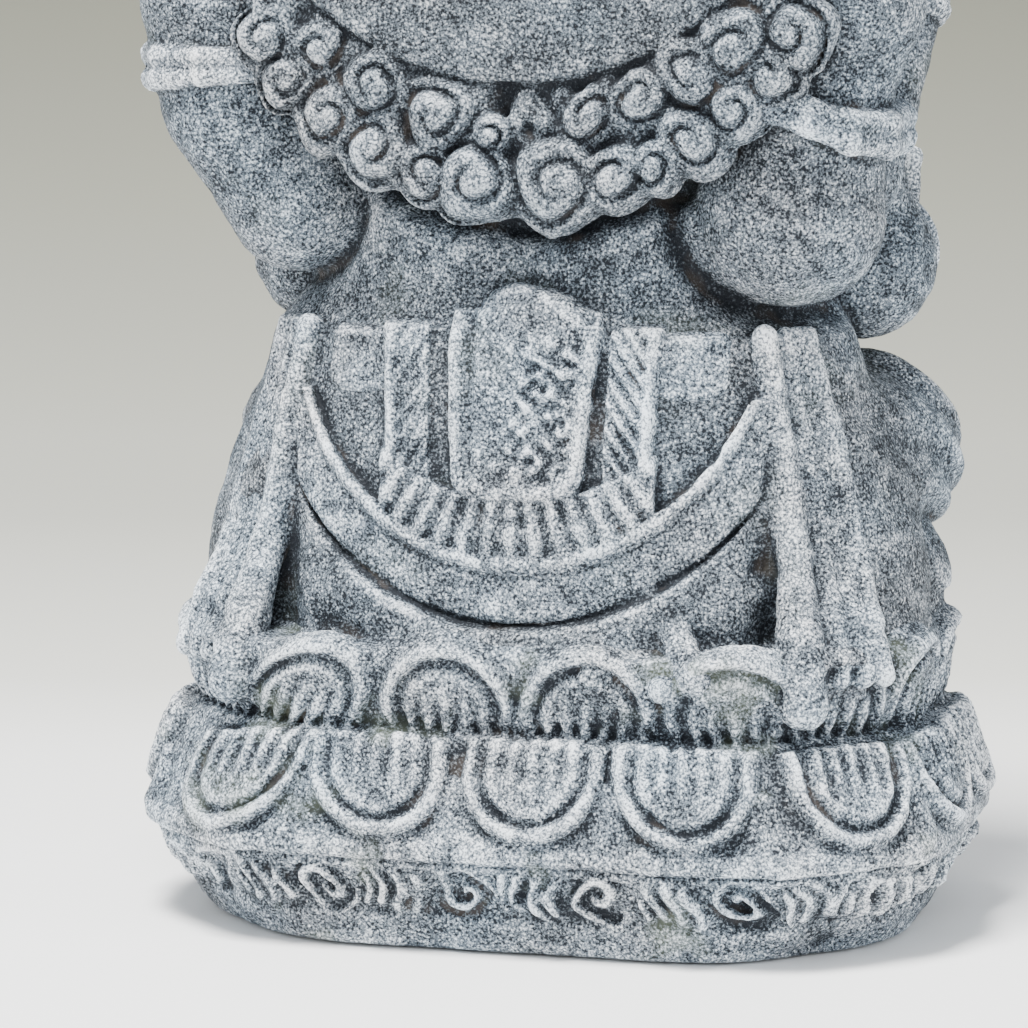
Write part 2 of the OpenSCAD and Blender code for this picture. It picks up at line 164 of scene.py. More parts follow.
def slab(v, half):
    return np.abs(v) - half


def side(s, p):
    return s * p[0], p[1], p[2]


def mirrored(P, s):
    return s * P[0], P[1], P[2]


def raised(s, p):
    """A point of a raised hand or wrist, on the side that pair fields are written for."""
    return p[0] + s * RAISED_LEAN, p[1], p[2]


# ---------------------------------------------------------------- noise


def lattice(ix, iy, iz, seed):
    h = (ix * 374761393 + iy * 668265263 + iz * 2147483647 + seed * 1274126177) & 0x7FFFFFFF
    h = ((h ^ (h >> 13)) * 1274126177) & 0x7FFFFFFF
    h = ((h ^ (h >> 16)) * 668265263) & 0x7FFFFFFF
    return (h & 0xFFFF) / 32767.5 - 1.0


def noise(points, scale, seed=0):
    """Smooth value noise from -1 to 1 on an (n, 3) array of points."""
    p = points / scale + 1000.0
    cell = np.floor(p).astype(np.int64)
    f = p - cell
    f = f * f * (3 - 2 * f)
    out = np.zeros(len(p))
    for dx, dy, dz in product((0, 1), repeat=3):
        along_x = f[:, 0] if dx else 1 - f[:, 0]
        along_y = f[:, 1] if dy else 1 - f[:, 1]
        along_z = f[:, 2] if dz else 1 - f[:, 2]
        weight = along_x * along_y * along_z
        out += weight * lattice(cell[:, 0] + dx, cell[:, 1] + dy, cell[:, 2] + dz, seed)
    return out


# ---------------------------------------------------------------- masses and meshing

MASSES = []


class Mass:
    """One carved mass: the CAD nodes it stands for, its field, its box, and how softly it joins the rest."""

    def __init__(self, name, nodes, slot, field, low, high, blend):
        self.name, self.nodes, self.slot, self.field = name, nodes, slot, field
        self.low, self.high, self.blend = np.array(low, float), np.array(high, float), blend
        self.first = np.floor((self.low - MARGIN) / VOXEL).astype(int)
        self.last = np.ceil((self.high + MARGIN) / VOXEL).astype(int) + 1
        self.values = None
        MASSES.append(self)

    def axes(self):
        return [np.arange(a, b) * VOXEL for a, b in zip(self.first, self.last)]

    def sample(self):
        """The field on the lattice that all masses share, worked out once."""
        if self.values is None:
            x, y, z = (a.astype(np.float32) for a in self.axes())
            P = x[:, None, None], y[None, :, None], z[None, None, :]
            self.values = np.empty(self.last - self.first, np.float32)
            self.values[...] = self.field(P)
        return self.values


def mass(name, nodes, slot, low, high, blend=2.0):
    def keep(field):
        Mass(name, nodes, slot, field, low, high, blend)
        return field

    return keep


def stone_field(owner):
    """The whole stone on the owner's grid, and how far each point is into the neighbours' ground."""
    shape = owner.last - owner.first
    whole = np.full(shape, FAR, np.float32)
    others = np.full(shape, FAR, np.float32)
    for m in MASSES:
        first, last = np.maximum(m.first, owner.first), np.minimum(m.last, owner.last)
        if np.any(first >= last):
            continue
        here = tuple(slice(a, b) for a, b in zip(first - owner.first, last - owner.first))
        there = tuple(slice(a, b) for a, b in zip(first - m.first, last - m.first))
        f = m.sample()[there]
        whole[here] = smin(whole[here], f, m.blend)
        if m is not owner:
            others[here] = np.minimum(others[here], f)
    return whole, (owner.sample() - others) / 2


def surface_net(values, axes):
    """Vertices and quads of the zero level of a grid of values."""
    step = axes[0][1] - axes[0][0]
    origin = np.array([a[0] for a in axes])
    n = np.array(values.shape)
    inside = values < 0
    corners = list(product((0, 1), repeat=3))
    views = [tuple(slice(c, m - 1 + c) for c, m in zip(corner, n)) for corner in corners]
    count = sum(inside[v].astype(np.int8) for v in views)
    cells = np.argwhere((count > 0) & (count < 8))
    index = np.full(tuple(n - 1), -1, np.int32)
    index[tuple(cells.T)] = np.arange(len(cells))
    at = np.stack([values[tuple((cells + corner).T)] for corner in corners], axis=1)
    total = np.zeros((len(cells), 3))
    hits = np.zeros(len(cells))
    for i, j in product(range(8), repeat=2):
        span = np.array(corners[j]) - corners[i]
        if i < j and np.abs(span).sum() == 1:
            a, b = at[:, i], at[:, j]
            cross = (a < 0) != (b < 0)
            t = a / np.where(cross, a - b, 1)
            total += cross[:, None] * (np.array(corners[i]) + t[:, None] * span)
            hits += cross
    points = origin + (cells + total / hits[:, None]) * step
    quads = []
    for axis in range(3):
        ahead = [slice(None)] * 3
        behind = [slice(None)] * 3
        ahead[axis], behind[axis] = slice(1, None), slice(None, -1)
        a, b = inside[tuple(behind)], inside[tuple(ahead)]
        edges = np.argwhere(a != b)
        u, v = [k for k in range(3) if k != axis]
        keep = (edges[:, u] > 0) & (edges[:, v] > 0) & (edges[:, u] < n[u] - 1) & (edges[:, v] < n[v] - 1)
        edges = edges[keep]
        ring = []
        for du, dv in ((-1, -1), (0, -1), (0, 0), (-1, 0)):
            cell = edges.copy()
            cell[:, u] += du
            cell[:, v] += dv
            ring.append(index[tuple(cell.T)])
        quad = np.stack(ring, axis=1)
        flip = a[tuple(edges.T)] if axis == 1 else ~a[tuple(edges.T)]
        quad[flip] = quad[flip][:, ::-1]
        quads.append(quad)
    return points, np.concatenate(quads)


def lookup(values, axes, points):
    """Trilinear reading of a grid at an (n, 3) array of points."""
    step = axes[0][1] - axes[0][0]
    p = (points - np.array([a[0] for a in axes])) / step
    top = np.array(values.shape) - 1.001
    p = np.clip(p, 0, top)
    cell = p.astype(np.int64)
    f = p - cell
    out = np.zeros(len(p))
    for corner in product((0, 1), repeat=3):
        w = np.prod(np.where(corner, f, 1 - f), axis=1)
        out += w * values[tuple((cell + corner).T)]
    return out


def gradient(values, axes, points):
    step = axes[0][1] - axes[0][0]
    g = np.stack([
        lookup(values, axes, points + d) - lookup(values, axes, points - d)
        for d in np.eye(3) * step
    ], axis=1)
    return g / np.maximum(np.linalg.norm(g, axis=1, keepdims=True), 1e-6)


# ---------------------------------------------------------------- shared shapes of the figure

HIP_C, HIP_R = (0, 6, SEAT_Z + 30), (85, 52, 114)
TORSO_C, TORSO_R = (0, 2, SEAT_Z + 94), (71, 47, 88)
BELLY_C, BELLY_R = (0, -20, SEAT_Z + 66), (57, 44, 50)
HEAD_C, HEAD_R = (0, -8, NECK_Z + 44), (38, 38, 44)
THIGH_ROOT, KNEE = (56, 12, SEAT_Z + 37), (71, -30, SEAT_Z + 42)
SHIN_TOP, ANKLE = (82, -16, SEAT_Z + 13), (19, -54, SEAT_Z + 13)
REAR_SHOULDER, REAR_FOREARM = (84, 27, NECK_Z - 9), (74, 8, SEAT_Z + 114)
REAR_WRIST, REAR_HAND = (89.5, -10, NECK_Z - 2), (92.5, -14, NECK_Z + 17)
RAISED_LEAN = 5
FRONT_SHOULDER, FRONT_ELBOW = (64, -10, NECK_Z - 26), (73, -22, SEAT_Z + 94)
FRONT_WRIST, FRONT_HAND = (75, -47, SEAT_Z + 96), (73, -57, SEAT_Z + 105)


def torso_core(P):
    return ellipsoid(P, TORSO_C, TORSO_R)


def behind(P):
    """One on the back of the body and nought on its front."""
    return ramp(P[1], -6, 10)


def relief_on(P, core, outline, height, k=1.2):
    """A layer of the given height on a core, cut to an outline and softened by k."""
    return smax(smax(core - height, outline, k), -2 - P[1], 1)


def arc_band(P, low_z, radius, high_z, radius_in, reach):
    """Outline of a hanging crescent, and how far across it a point is: -1 at its foot, 1 at its top."""
    x, _, z = P
    dip = np.sqrt(np.maximum(radius**2 - x**2, 1))
    bottom = low_z + radius - dip
    dip_in = np.sqrt(np.maximum(radius_in**2 - x**2, 1))
    top = high_z + radius_in - dip_in
    slope = np.sqrt(np.maximum(1 - (x / radius) ** 2, 0.15))
    half = np.maximum((top - bottom) / 2, 0.5)
    across = (z - (top + bottom) / 2) / half
    outline = np.maximum((np.abs(z - (top + bottom) / 2) - half) * slope, np.abs(x) - reach)
    return outline, across


# ---------------------------------------------------------------- base


def tapered_wall(P, foot, top, cut, z0, z1, k):
    """The side of a block with cut corners that changes size from foot to top."""
    x, y, z = P
    t = clamp01((z - z0) / (z1 - z0))
    w = foot[0] + (top[0] - foot[0]) * t
    d = foot[1] + (top[1] - foot[1]) * t
    corner = (np.abs(x) + np.abs(y) - (w / 2 + d / 2 - cut)) / math.sqrt(2)
    return smax(smax(np.abs(x) - w / 2, np.abs(y) - d / 2, k), corner, k)


def base_wall(P, foot, top, cut, z0, z1, k=7):
    return smax(tapered_wall(P, foot, top, cut, z0, z1, k), slab(P[2] - (z0 + z1) / 2, (z1 - z0) / 2), 2.5)


LOWER_FOOT, LOWER_TOP, LOWER_CUT = (PLINTH_W + 16, PLINTH_D + 8), (PLINTH_W - 2, PLINTH_D - 9), 34
UPPER_FOOT, UPPER_TOP, UPPER_CUT = (PLINTH_W - 10, PLINTH_D - 14), (PLINTH_W - 2, PLINTH_D - 4), 34
PLINTH_CUT = 27
MOULDING_Z = PLINTH_TOP - 6


def scroll(a, b, size, hand):
    """Relief of a carved scroll about the origin."""
    rho = np.sqrt(a * a + b * b) + 1e-6
    swirl = np.cos(2 * math.pi * rho / 5.6 - hand * np.arctan2(b, a))
    return swirl * (1 - ramp(rho, size - 1.5, size + 0.5))


def frieze_relief(along, z):
    """Worn scrolls, bars and knobs that follow each other along the plinth, about -0.5 to 1."""
    pitch = 36.0
    middle = (MOULDING_Z + 8) / 2 + 1
    cell = np.floor(along / pitch)
    a = along - (cell + 0.5) * pitch
    a = a + 1.3 * np.sin(z * 0.45 + cell * 2.1)
    b = z - middle + 1.2 * np.sin(along * 0.33)
    upright = 1 - ramp(np.abs(b), 4, 7)
    hand = 1 - 2 * (cell - 2 * np.floor(cell / 2))
    out = 0.85 * np.maximum(scroll(a + 8.5, b, 8, hand), -0.35)
    for bar, width in ((3.5, 1.5), (8.5, 1.9), (13.5, 1.3), (17.0, 1.1)):
        out = out + 1.2 * bell(a - bar - 0.2 * b, width) * upright
    worn = 0.75 + 0.25 * np.sin(along * 0.19 + 1.3) * np.sin(z * 0.4 + along * 0.07)
    return (out + 0.7 * bell(length(a - 6, b - 1), 2)) * worn


def face_along(P, w, d):
    """Distance along whichever face of the base a point belongs to."""
    x, y, _ = P
    on_long = (np.abs(y) - d / 2) > (np.abs(x) - w / 2)
    return np.where(on_long, x, y + 18)


@mass("plinth", ["plinth", "plinth_frieze"], "stone_base",
      (-110, -79, 0), (110, 79, MOULDING_Z + 1), blend=2.5)
def plinth(P):
    z = P[2]
    wall = base_wall(P, (PLINTH_W - 11, PLINTH_D - 6), (PLINTH_W + 14, PLINTH_D + 10), PLINTH_CUT + 9,
                     0, MOULDING_Z + 1, 14)
    band = ramp(z, 8, 10.5) * (1 - ramp(z, MOULDING_Z - 2, MOULDING_Z))
    return wall + 1.4 * band - 3.6 * band * frieze_relief(face_along(P, PLINTH_W, PLINTH_D), z)


@mass("plinth_moulding", ["plinth_moulding"], "stone_base",
      (-111, -80, MOULDING_Z - 1), (111, 80, PLINTH_TOP + 1), blend=1.2)
def plinth_moulding(P):
    return base_wall(P, (PLINTH_W + 17, PLINTH_D + 12), (PLINTH_W + 16, PLINTH_D + 11), PLINTH_CUT + 7,
                     MOULDING_Z + 1.5, PLINTH_TOP + 0.5, 12)


def lower_wall(P):
    swell = bell(P[2] - LOTUS_Z + 9, 11)
    return tapered_wall(P, LOWER_FOOT, LOWER_TOP, LOWER_CUT, PLINTH_TOP, LOTUS_Z, 14) - swell


def upper_wall(P):
    return tapered_wall(P, UPPER_FOOT, UPPER_TOP, UPPER_CUT, LOTUS_Z, SEAT_Z, 14)


def joint_groove(P):
    """The jagged line between the two rows of petals."""
    along = face_along(P, UPPER_TOP[0], UPPER_TOP[1])
    teeth = np.abs(2 * (along / 4.6 - np.floor(along / 4.6)) - 1) + 0.5 * np.sin(along * 0.31)
    return 1.3 * bell(P[2] - LOTUS_Z - 2.2 * teeth, 1.0)


@mass("lotus_core_lower", ["lotus_core_lower"], "stone_base",
      (-111, -78, PLINTH_TOP - 1), (111, 78, LOTUS_Z + 1), blend=3)
def lotus_core_lower(P):
    layer = slab(P[2] - (PLINTH_TOP + LOTUS_Z) / 2, (LOTUS_Z - PLINTH_TOP) / 2 + 0.5)
    return smax(lower_wall(P), layer, 2.5)


@mass("lotus_core_upper", ["lotus_core_upper"], "stone_base",
      (-103, -72, LOTUS_Z - 1), (103, 72, SEAT_Z + 2), blend=2.5)
def lotus_core_upper(P):
    return smax(upper_wall(P), slab(P[2] - (LOTUS_Z + SEAT_Z) / 2, (SEAT_Z - LOTUS_Z) / 2 + 0.8), 5)


def face_frames(foot, top, cut, z0, z1, rows):
    """Origin of every petal of a row, and its directions along the face, up it and out of it."""
    for angle, offsets, moved in rows:
        diagonal = angle % 90 != 0
        dist = []
        for w, d in (foot, top):
            straight = (d if angle % 180 == 0 else w) / 2
            dist.append((w / 2 + d / 2 - cut) / math.sqrt(2) if diagonal else straight)
        drift = (1 if angle % 180 == 45 else -1) * (foot[0] - foot[1]) / 2 / math.sqrt(2) if diagonal else 0
        a = math.radians(angle)
        along = np.array((math.cos(a), math.sin(a), 0))
        out = np.array((math.sin(a), -math.cos(a), 0))
        rise = np.array((0, 0, z1 - z0)) + out * (dist[1] - dist[0])
        up = rise / np.linalg.norm(rise)
        normal = np.cross(along, up)
        for offset in offsets:
            yield out * dist[0] + along * (offset + moved + drift) + np.array((0, 0, z0)), along, up, normal


def face_local(P, at):
    origin, along, up, normal = at
    x, y, z = shift(P, origin)
    return [x * v[0] + y * v[1] + z * v[2] for v in (along, up, normal)]


def petal(a, b, c, w, h, t, tongue):
    """A carved petal with its round end down: a raised rim, a groove inside it, and a fluted tongue."""
    r = w / 2
    centre = r * 1.02
    round_end = np.sqrt(a * a + np.minimum(b - centre, 0) ** 2) - r + 0.03 * np.maximum(b - centre, 0)
    deep = np.maximum(-round_end, 0)
    rim = 1.2 * bell(deep - 2.2, 1.5)
    groove = 1.4 * bell(deep - 5.0, 1.2)
    second = 0.9 * bell(deep - 7.8, 1.3)
    inside = ramp(deep, 7.0, 10.0)
    flutes = 0.8 * np.cos(2 * math.pi * a / 5.2) * ramp(b, h * 0.35, h * 0.7) * inside
    face = t - 0.8 + rim - groove + second + tongue * inside + flutes
    return smax(smax(np.maximum(round_end, b - h), c - face, 2.4), -5 - c, 1)


def nearest_petals(P, frames, wall, shape):
    """All the petals of a row, each bent round its wall and leaning a little its own way."""
    petals = []
    for i, at in enumerate(frames):
        a, b, c = face_local(P, at)
        outermost = i in (0, 4)
        lean = (0.42 if outermost else 0.07 * math.sin(2.4 * i)) * (12 - b)
        petals.append(np.where((np.abs(a) < 28) & (np.abs(c) < 24), shape(a + lean, b, wall), FAR))
    return union(petals)


LONG, SHORT, CORNERS = (0, 180), (90, 270), (45, 135, 225, 315)
PITCH = 40
UPPER_PITCH = 37
LOWER_ROWS = ([(a, (-2 * PITCH, -PITCH, 0, PITCH), 8) for a in LONG]
              + [(a, (-PITCH / 2, PITCH / 2), 0) for a in SHORT] + [(a, (0,), 0) for a in (45, 225)])
UPPER_ROWS = ([(a, [UPPER_PITCH * i for i in (-1.5, -0.5, 0.5, 1.5)], 3) for a in LONG]
              + [(a, [UPPER_PITCH * i for i in (-0.5, 0.5)], 0) for a in SHORT]
              + [(a, (0,), 0) for a in CORNERS])
TIP_ROWS = ([(a, (-1.5 * PITCH, -PITCH / 2, PITCH / 2, 1.5 * PITCH), 8) for a in LONG]
            + [(a, (-PITCH, 0, PITCH), 0) for a in SHORT])


@mass("lower_petals", ["lower_petals"], "stone_base",
      (-115, -82, PLINTH_TOP - 1), (115, 82, LOTUS_Z + 1), blend=1.2)
def lower_petals(P):
    frames = face_frames(LOWER_FOOT, LOWER_TOP, LOWER_CUT, PLINTH_TOP + 0.5, LOTUS_Z, LOWER_ROWS)
    row = nearest_petals(P, frames, lower_wall(P), lambda a, b, c: petal(a, b, c, PITCH - 3, 27.5, 3.8, 0.7))
    return row + joint_groove(P)


@mass("lower_petal_tips", ["lower_petal_tips"], "stone_base",
      (-113, -80, PLINTH_TOP - 1), (113, 80, LOTUS_Z + 1), blend=1.2)
def lower_petal_tips(P):
    def tip(a, b, c):
        half = 7.0 * np.sqrt(clamp01(1 - b / 17.0))
        ridge = 2.4 - 0.3 * np.abs(a)
        return smax(smax((np.abs(a) - half) * 0.8, c - ridge, 1.2), np.maximum(-b, -3 - c), 1)

    frames = face_frames(LOWER_FOOT, LOWER_TOP, LOWER_CUT, PLINTH_TOP + 0.5, LOTUS_Z, TIP_ROWS)
    return nearest_petals(P, frames, lower_wall(P), tip)


@mass("upper_petals", ["upper_petals"], "stone_base",
      (-106, -77, LOTUS_Z - 2), (106, 77, SEAT_Z + 5), blend=1.4)
def upper_petals(P):
    height = SEAT_Z - LOTUS_Z + 4

    def upturned(a, b, c):
        hem = 0.8 * np.cos(2 * math.pi * a / 4.6) * (1 - ramp(b, 2, 6))
        return petal(a, height - b, c, 36, height + 1, 2.7, 0.5) - hem

    frames = face_frames(UPPER_FOOT, UPPER_TOP, UPPER_CUT, LOTUS_Z, SEAT_Z, UPPER_ROWS)
    return nearest_petals(P, frames, upper_wall(P), upturned) + joint_groove(P)


# ---------------------------------------------------------------- body

BODY = "stone_figure"
TRIM = "stone_ornament"


@mass("hips", ["hips"], BODY, (-100, -50, SEAT_Z - 4), (100, 64, WAIST_Z + 8), blend=6)
def hips(P):
    x, y, z = P
    under_sash = SEAT_Z + 7 + 74 - np.sqrt(np.maximum(74.0**2 - x * x, 1)) - z
    skirt = 4.0 + 3.5 * (1 - ramp(z, SEAT_Z, SEAT_Z + 20))
    flush = skirt * ramp(under_sash, -1, 2.5) - 1.2 * bell(under_sash - 0.8, 0.9)
    flush = flush * (1 - ramp(np.abs(x), 56, 66))
    seat_bulge = 3.5 * bell(np.abs(x) - 45, 22) * bell(z - SEAT_Z - 13, 9)
    f = ellipsoid(P, HIP_C, HIP_R) - (flush + seat_bulge) * behind(P) + elbow_shade(P)
    flank = ellipsoid((np.abs(x), y, z), (70, 6, SEAT_Z + 10), (27, 34, 44))
    f = smin(f, flank, 8)
    return smax(smax(f, z - WAIST_Z - 5, 11), SEAT_Z - 4 - z, 2)


def elbow_shade(P):
    """A hollow that runs round each rear elbow where it stands away from the back."""
    x, _, z = P
    right = length(x + 64, z - SEAT_Z - 111) - 27.5
    left = length(x - 67, z - SEAT_Z - 111) - 21
    return (5.5 * bell(right, 3.5) + 4 * bell(left, 3)) * behind(P)


@mass("torso", ["torso"], BODY, (-74, -48, WAIST_Z - 8), (74, 52, NECK_Z + 12), blend=6)
def torso(P):
    x, y, z = P
    furrow = 4.2 * bell(x, 8) * ramp(y, 10, 30) * ramp(z, WAIST_Z - 2, WAIST_Z + 20)
    blades = 3 * bell(np.abs(x) - 27, 15) * bell(z - WAIST_Z - 28, 17) * ramp(y, 10, 30)
    chest = 5 * bell(np.abs(x) - 30, 18) * bell(z - NECK_Z + 34, 18) * ramp(-y, 10, 30)
    rad, _ = halo_polar(P)
    undercut = 6.5 * bell(rad - hair_edge(P) - 2.5, 4) * ramp(y, 20, 35) * (1 - ramp(np.abs(x), 48, 62))
    f = torso_core(P) + furrow + undercut + elbow_shade(P) - blades - chest
    return smax(f, WAIST_Z - 8 - z, 3)


@mass("belly", ["belly"], BODY, (-58, -68, SEAT_Z + 10), (58, 0, SEAT_Z + 120), blend=6)
def belly(P):
    x, y, z = P
    navel = 3 * bell(length(x, z - SEAT_Z - 52), 5) * ramp(-y, 40, 55)
    crease = 1.2 * bell(z - SEAT_Z - 84 - 0.006 * x * x, 2.5) * ramp(-y, 20, 40)
    return smax(ellipsoid(P, BELLY_C, BELLY_R) + navel + crease, y, 3)


def pair(name, slot, low, high, blend=2.0):
    """A mass on each side. Its field is written for the idol's left, with x growing outwards."""

    def keep(field):
        for s, word in ((LEFT, "left"), (RIGHT, "right")):
            near, far_ = (low[0], high[0]) if s == LEFT else (-high[0], -low[0])
            label = f"{word}_{name}"
            Mass(label, [label], slot, lambda P, s=s: field(mirrored(P, s), s),
                 (near, low[1], low[2]), (far_, high[1], high[2]), blend)
        return field

    return keep


@pair("thigh", BODY, (24, -62, SEAT_Z - 3), (104, 44, SEAT_Z + 74), blend=5)
def thigh(P, s):
    x, y, z = P
    f, t = limb(P, THIGH_ROOT, KNEE, 31, 28)
    a = np.arctan2(z - SEAT_Z - 6, y + 72) + 0.002 * x
    pleats = np.cos(a * 30 + 1.6 * np.sin(t * 5)) * ramp(f, -6, -1) * ramp(x, 60, 78)
    return smax(f - 0.9 * pleats, SEAT_Z - 3 - z, 2)


@pair("shin", BODY, (6, -72, SEAT_Z - 3), (102, 4, SEAT_Z + 32), blend=3)
def shin(P, s):
    x, _, z = P
    f, _ = limb(P, SHIN_TOP, ANKLE, 17, 12)
    folds = 0.7 * np.cos(2 * math.pi * (x + 0.5 * z) / 6.5) * ramp(x, 26, 40)
    return smax(smax(f - folds, SEAT_Z - 3 - z, 2), 6 - x, 2)


@pair("foot", BODY, (-1, -72, SEAT_Z - 3), (24, -44, SEAT_Z + 24), blend=1.5)
def foot(P, s):
    z = P[2]
    sole = capsule(P, (20, -55, SEAT_Z + 9), (5, -60, SEAT_Z + 8), 9, 8)
    toes = union([ball(P, (4, -67 + 0.6 * i, SEAT_Z + 3 + 3.8 * i), 3.2 - 0.25 * i) for i in range(4)])
    return smax(smin(sole, toes, 2), SEAT_Z - 3 - z, 2)


# ---------------------------------------------------------------- cloth at the back


def seat_shell(P):
    """The plain rounded hips that the cloth lies on, and past whose edge it can hang."""
    return ellipsoid(P, HIP_C, HIP_R)


@mass("hip_sash", ["hip_sash"], TRIM, (-70, -3, SEAT_Z + 3), (70, 66, SEAT_Z + 58), blend=0.6)
def hip_sash(P):
    outline, across = arc_band(P, SEAT_Z + 7, 74, SEAT_Z + 24, 62, 61.5)
    rims = 1.3 * bell(across - 0.76, 0.2) + 0.5 * bell(across + 0.7, 0.25)
    groove = 0.7 * bell(across - 0.4, 0.08)
    knot = 2.0 * bell(length(P[0] - 4, P[2] - SEAT_Z - 11), 4)
    return relief_on(P, seat_shell(P), outline, 2.9 + rims - groove + knot, 0.8)


@mass("sash_fringe", ["sash_fringe"], TRIM, (-38, 10, SEAT_Z + 20), (38, 66, SEAT_Z + 54), blend=0.4)
def sash_fringe(P):
    x, _, z = P
    outline, across = arc_band(P, SEAT_Z + 22.0, 54, SEAT_Z + 38.5, 60, 36)
    turn_about = np.arctan2(x, SEAT_Z + 84 - z)
    pleats = np.cos(turn_about * 58)
    return relief_on(P, seat_shell(P), outline, 2.9 + 0.95 * pleats + 0.7 * bell(across + 0.2, 0.5), 0.8)


def panel_scrolls(x, z):
    """Irregular raised curls and slanting ridges that fill the panel, from -0.25 to 1."""
    up = z - SEAT_Z
    wavy = x + 1.6 * np.sin(up * 0.55) + 0.9 * np.sin(up * 1.3 + 1)
    slanting = np.cos(2 * math.pi * (0.55 * up - 0.75 * wavy) / 5.6)
    out = 0.8 * slanting * np.cos(2 * math.pi * (up + 1.1 * wavy) / 17)
    for cx, rise, size, hand in ((-4, 50, 6, 1), (-12, 57, 5, -1), (-7, 66, 6, -1), (-13, 74, 5, 1)):
        out = out + 0.7 * scroll(x - cx, up - rise, size, hand)
    return np.clip(out, -0.25, 1)


@mass("back_panel", ["back_panel"], TRIM, (-24, 10, SEAT_Z + 34), (24, 66, WAIST_Z + 8), blend=0.8)
def back_panel(P):
    x, _, z = P
    half = 17.2 + 2.3 * ramp(z, SEAT_Z + 38, WAIST_Z)
    lean = x + 1.2 + 0.02 * (z - SEAT_Z - 60)
    foot = SEAT_Z + 38.5 + 0.004 * x * x
    cup = smax(np.abs(lean) - half, foot - z, 6)
    deep = np.maximum(-cup, 0)
    fade = 1 - ramp(z, WAIST_Z - 3, WAIST_Z + 4)
    border = 1.5 * bell(deep - 2.0, 1.4) * fade * (0.45 + 0.55 * ramp(-x, -8, 8))
    inner = ramp(deep, 3.6, 5.2) * (1.9 * panel_scrolls(x, z) * ramp(-x, -9, 3) - 0.7)
    fold = 1.0 * bell(x - 9, 1.8) - 0.8 * bell(x - 12.3, 1.5)
    face = 1.0 + 2.2 * fade + border + inner * fade + fold * ramp(deep, 1, 3)
    return relief_on(P, seat_shell(P), np.maximum(cup, z - WAIST_Z - 5), face, 1.0)


@mass("panel_cords", ["panel_cords"], TRIM, (-42, 10, SEAT_Z + 34), (42, 62, WAIST_Z + 4), blend=0.7)
def panel_cords(P):
    x, _, z = P
    height = z - SEAT_Z - 41
    middle = 28.5 + 0.04 * height
    off = np.abs(x) - middle
    outline = np.maximum(np.abs(off) - 6.2, np.maximum(SEAT_Z + 38 - 0.25 * off - z, z - WAIST_Z - 1))
    twist = np.where(x > 0, 0.45, 0.8)
    strands = twist * np.cos(2 * math.pi * (z * 0.8 + off * 1.1) / 4.6) * (1 - ramp(off, 2.4, 3.6))
    ridge = 2.2 * bell(off - 4.4, 1.5)
    return relief_on(P, seat_shell(P), outline, 1.6 + strands + ridge, 0.8)


@mass("sash_knot", ["sash_knot"], TRIM, (-30, 30, WAIST_Z - 12), (16, 64, WAIST_Z + 16), blend=3)
def sash_knot(P):
    x, y, z = turn(shift(P, (-13, 50, WAIST_Z + 2)), "y", -38)
    tail = ellipsoid((x, y, z), (0, 0, 0), (11.5, 5.5, 5.0)) + 1.1 * bell(z + 0.5, 0.9)
    X, Y, Z = shift(P, (1, 49, WAIST_Z + 2.5))
    loop = ellipsoid((X, Y, Z), (0, 0, 0), (9.5, 5.0, 9)) + 1.0 * bell(length(X, Z) - 5.5, 1.1)
    return smin(loop, tail, 2)


@mass("hip_clasps", ["hip_clasps"], TRIM, (-56, 8, WAIST_Z - 20), (56, 56, WAIST_Z + 2), blend=1.5)
def hip_clasps(P):
    a, c = np.abs(P[0]) - 44, P[2] - WAIST_Z + 9
    square = smax(np.abs(a), np.abs(c), 5) - 8.5
    rim = 0.5 * bell(square + 1.8, 1.2)
    ring = 0.5 * bell(length(a - 1, c) - 3.4, 1.4)
    lip = 1.2 * bell(c - 7, 1.2)
    return relief_on(P, seat_shell(P), square, 0.3 + rim + ring + lip, 1.8)


@mass("sash_ends", ["sash_ends"], TRIM, (-60, 40, SEAT_Z - 10), (-14, 74, SEAT_Z + 22), blend=1.2)
def sash_ends(P):
    x, _, z = P
    apex = (-35, 53, SEAT_Z + 14)
    out = ball(P, apex, 4.5)
    for reach in (11, -14):
        points = [apex, (apex[0] + reach * 0.5, 57, SEAT_Z + 6), (apex[0] + reach, 66, SEAT_Z - 4)]
        out = smin(out, chain(P, points, [3.4, 4.2, 4.8], 2), 1)
    ribs = 0.3 * np.cos(2 * math.pi * (np.abs(x + 35) - (13 - z + SEAT_Z) * 0.62) / 3.6)
    return smin(out - ribs, ball(P, (-41, 67, SEAT_Z - 7), 3.6), 1)


@pair("side_fall", TRIM, (50, 2, SEAT_Z - 22), (98, 64, WAIST_Z + 4), blend=2.2)
def side_fall(P, s):
    path = [
        (62, 36, WAIST_Z - 2), (67, 38, SEAT_Z + 52), (72, 41, SEAT_Z + 24), (76, 50, SEAT_Z + 5),
        (79, 56, SEAT_Z - 11),
    ]
    ridge, pleat = [3.4, 3.8, 4.5, 5.8, 6.2], [2.6, 2.6, 2.9, 3.3, 2.8]
    strips = []
    for offset, radii, sunk in ((-3.5, ridge, 0), (4.5, pleat, 2.8), (9.5, pleat, 4.2), (14.5, pleat, 4.6)):
        points = []
        for i, (x, y, z) in enumerate(path):
            wide = offset * (0.5 + 0.12 * i)
            shorter = 3 * (i - 2) if sunk and i > 2 else 0
            points.append((x + wide, y + 2 - 0.6 * (wide + 3) - sunk, z + shorter))
        strips.append(chain(P, points, radii, 2))
    return union(strips, 1.6)


# ---------------------------------------------------------------- arms


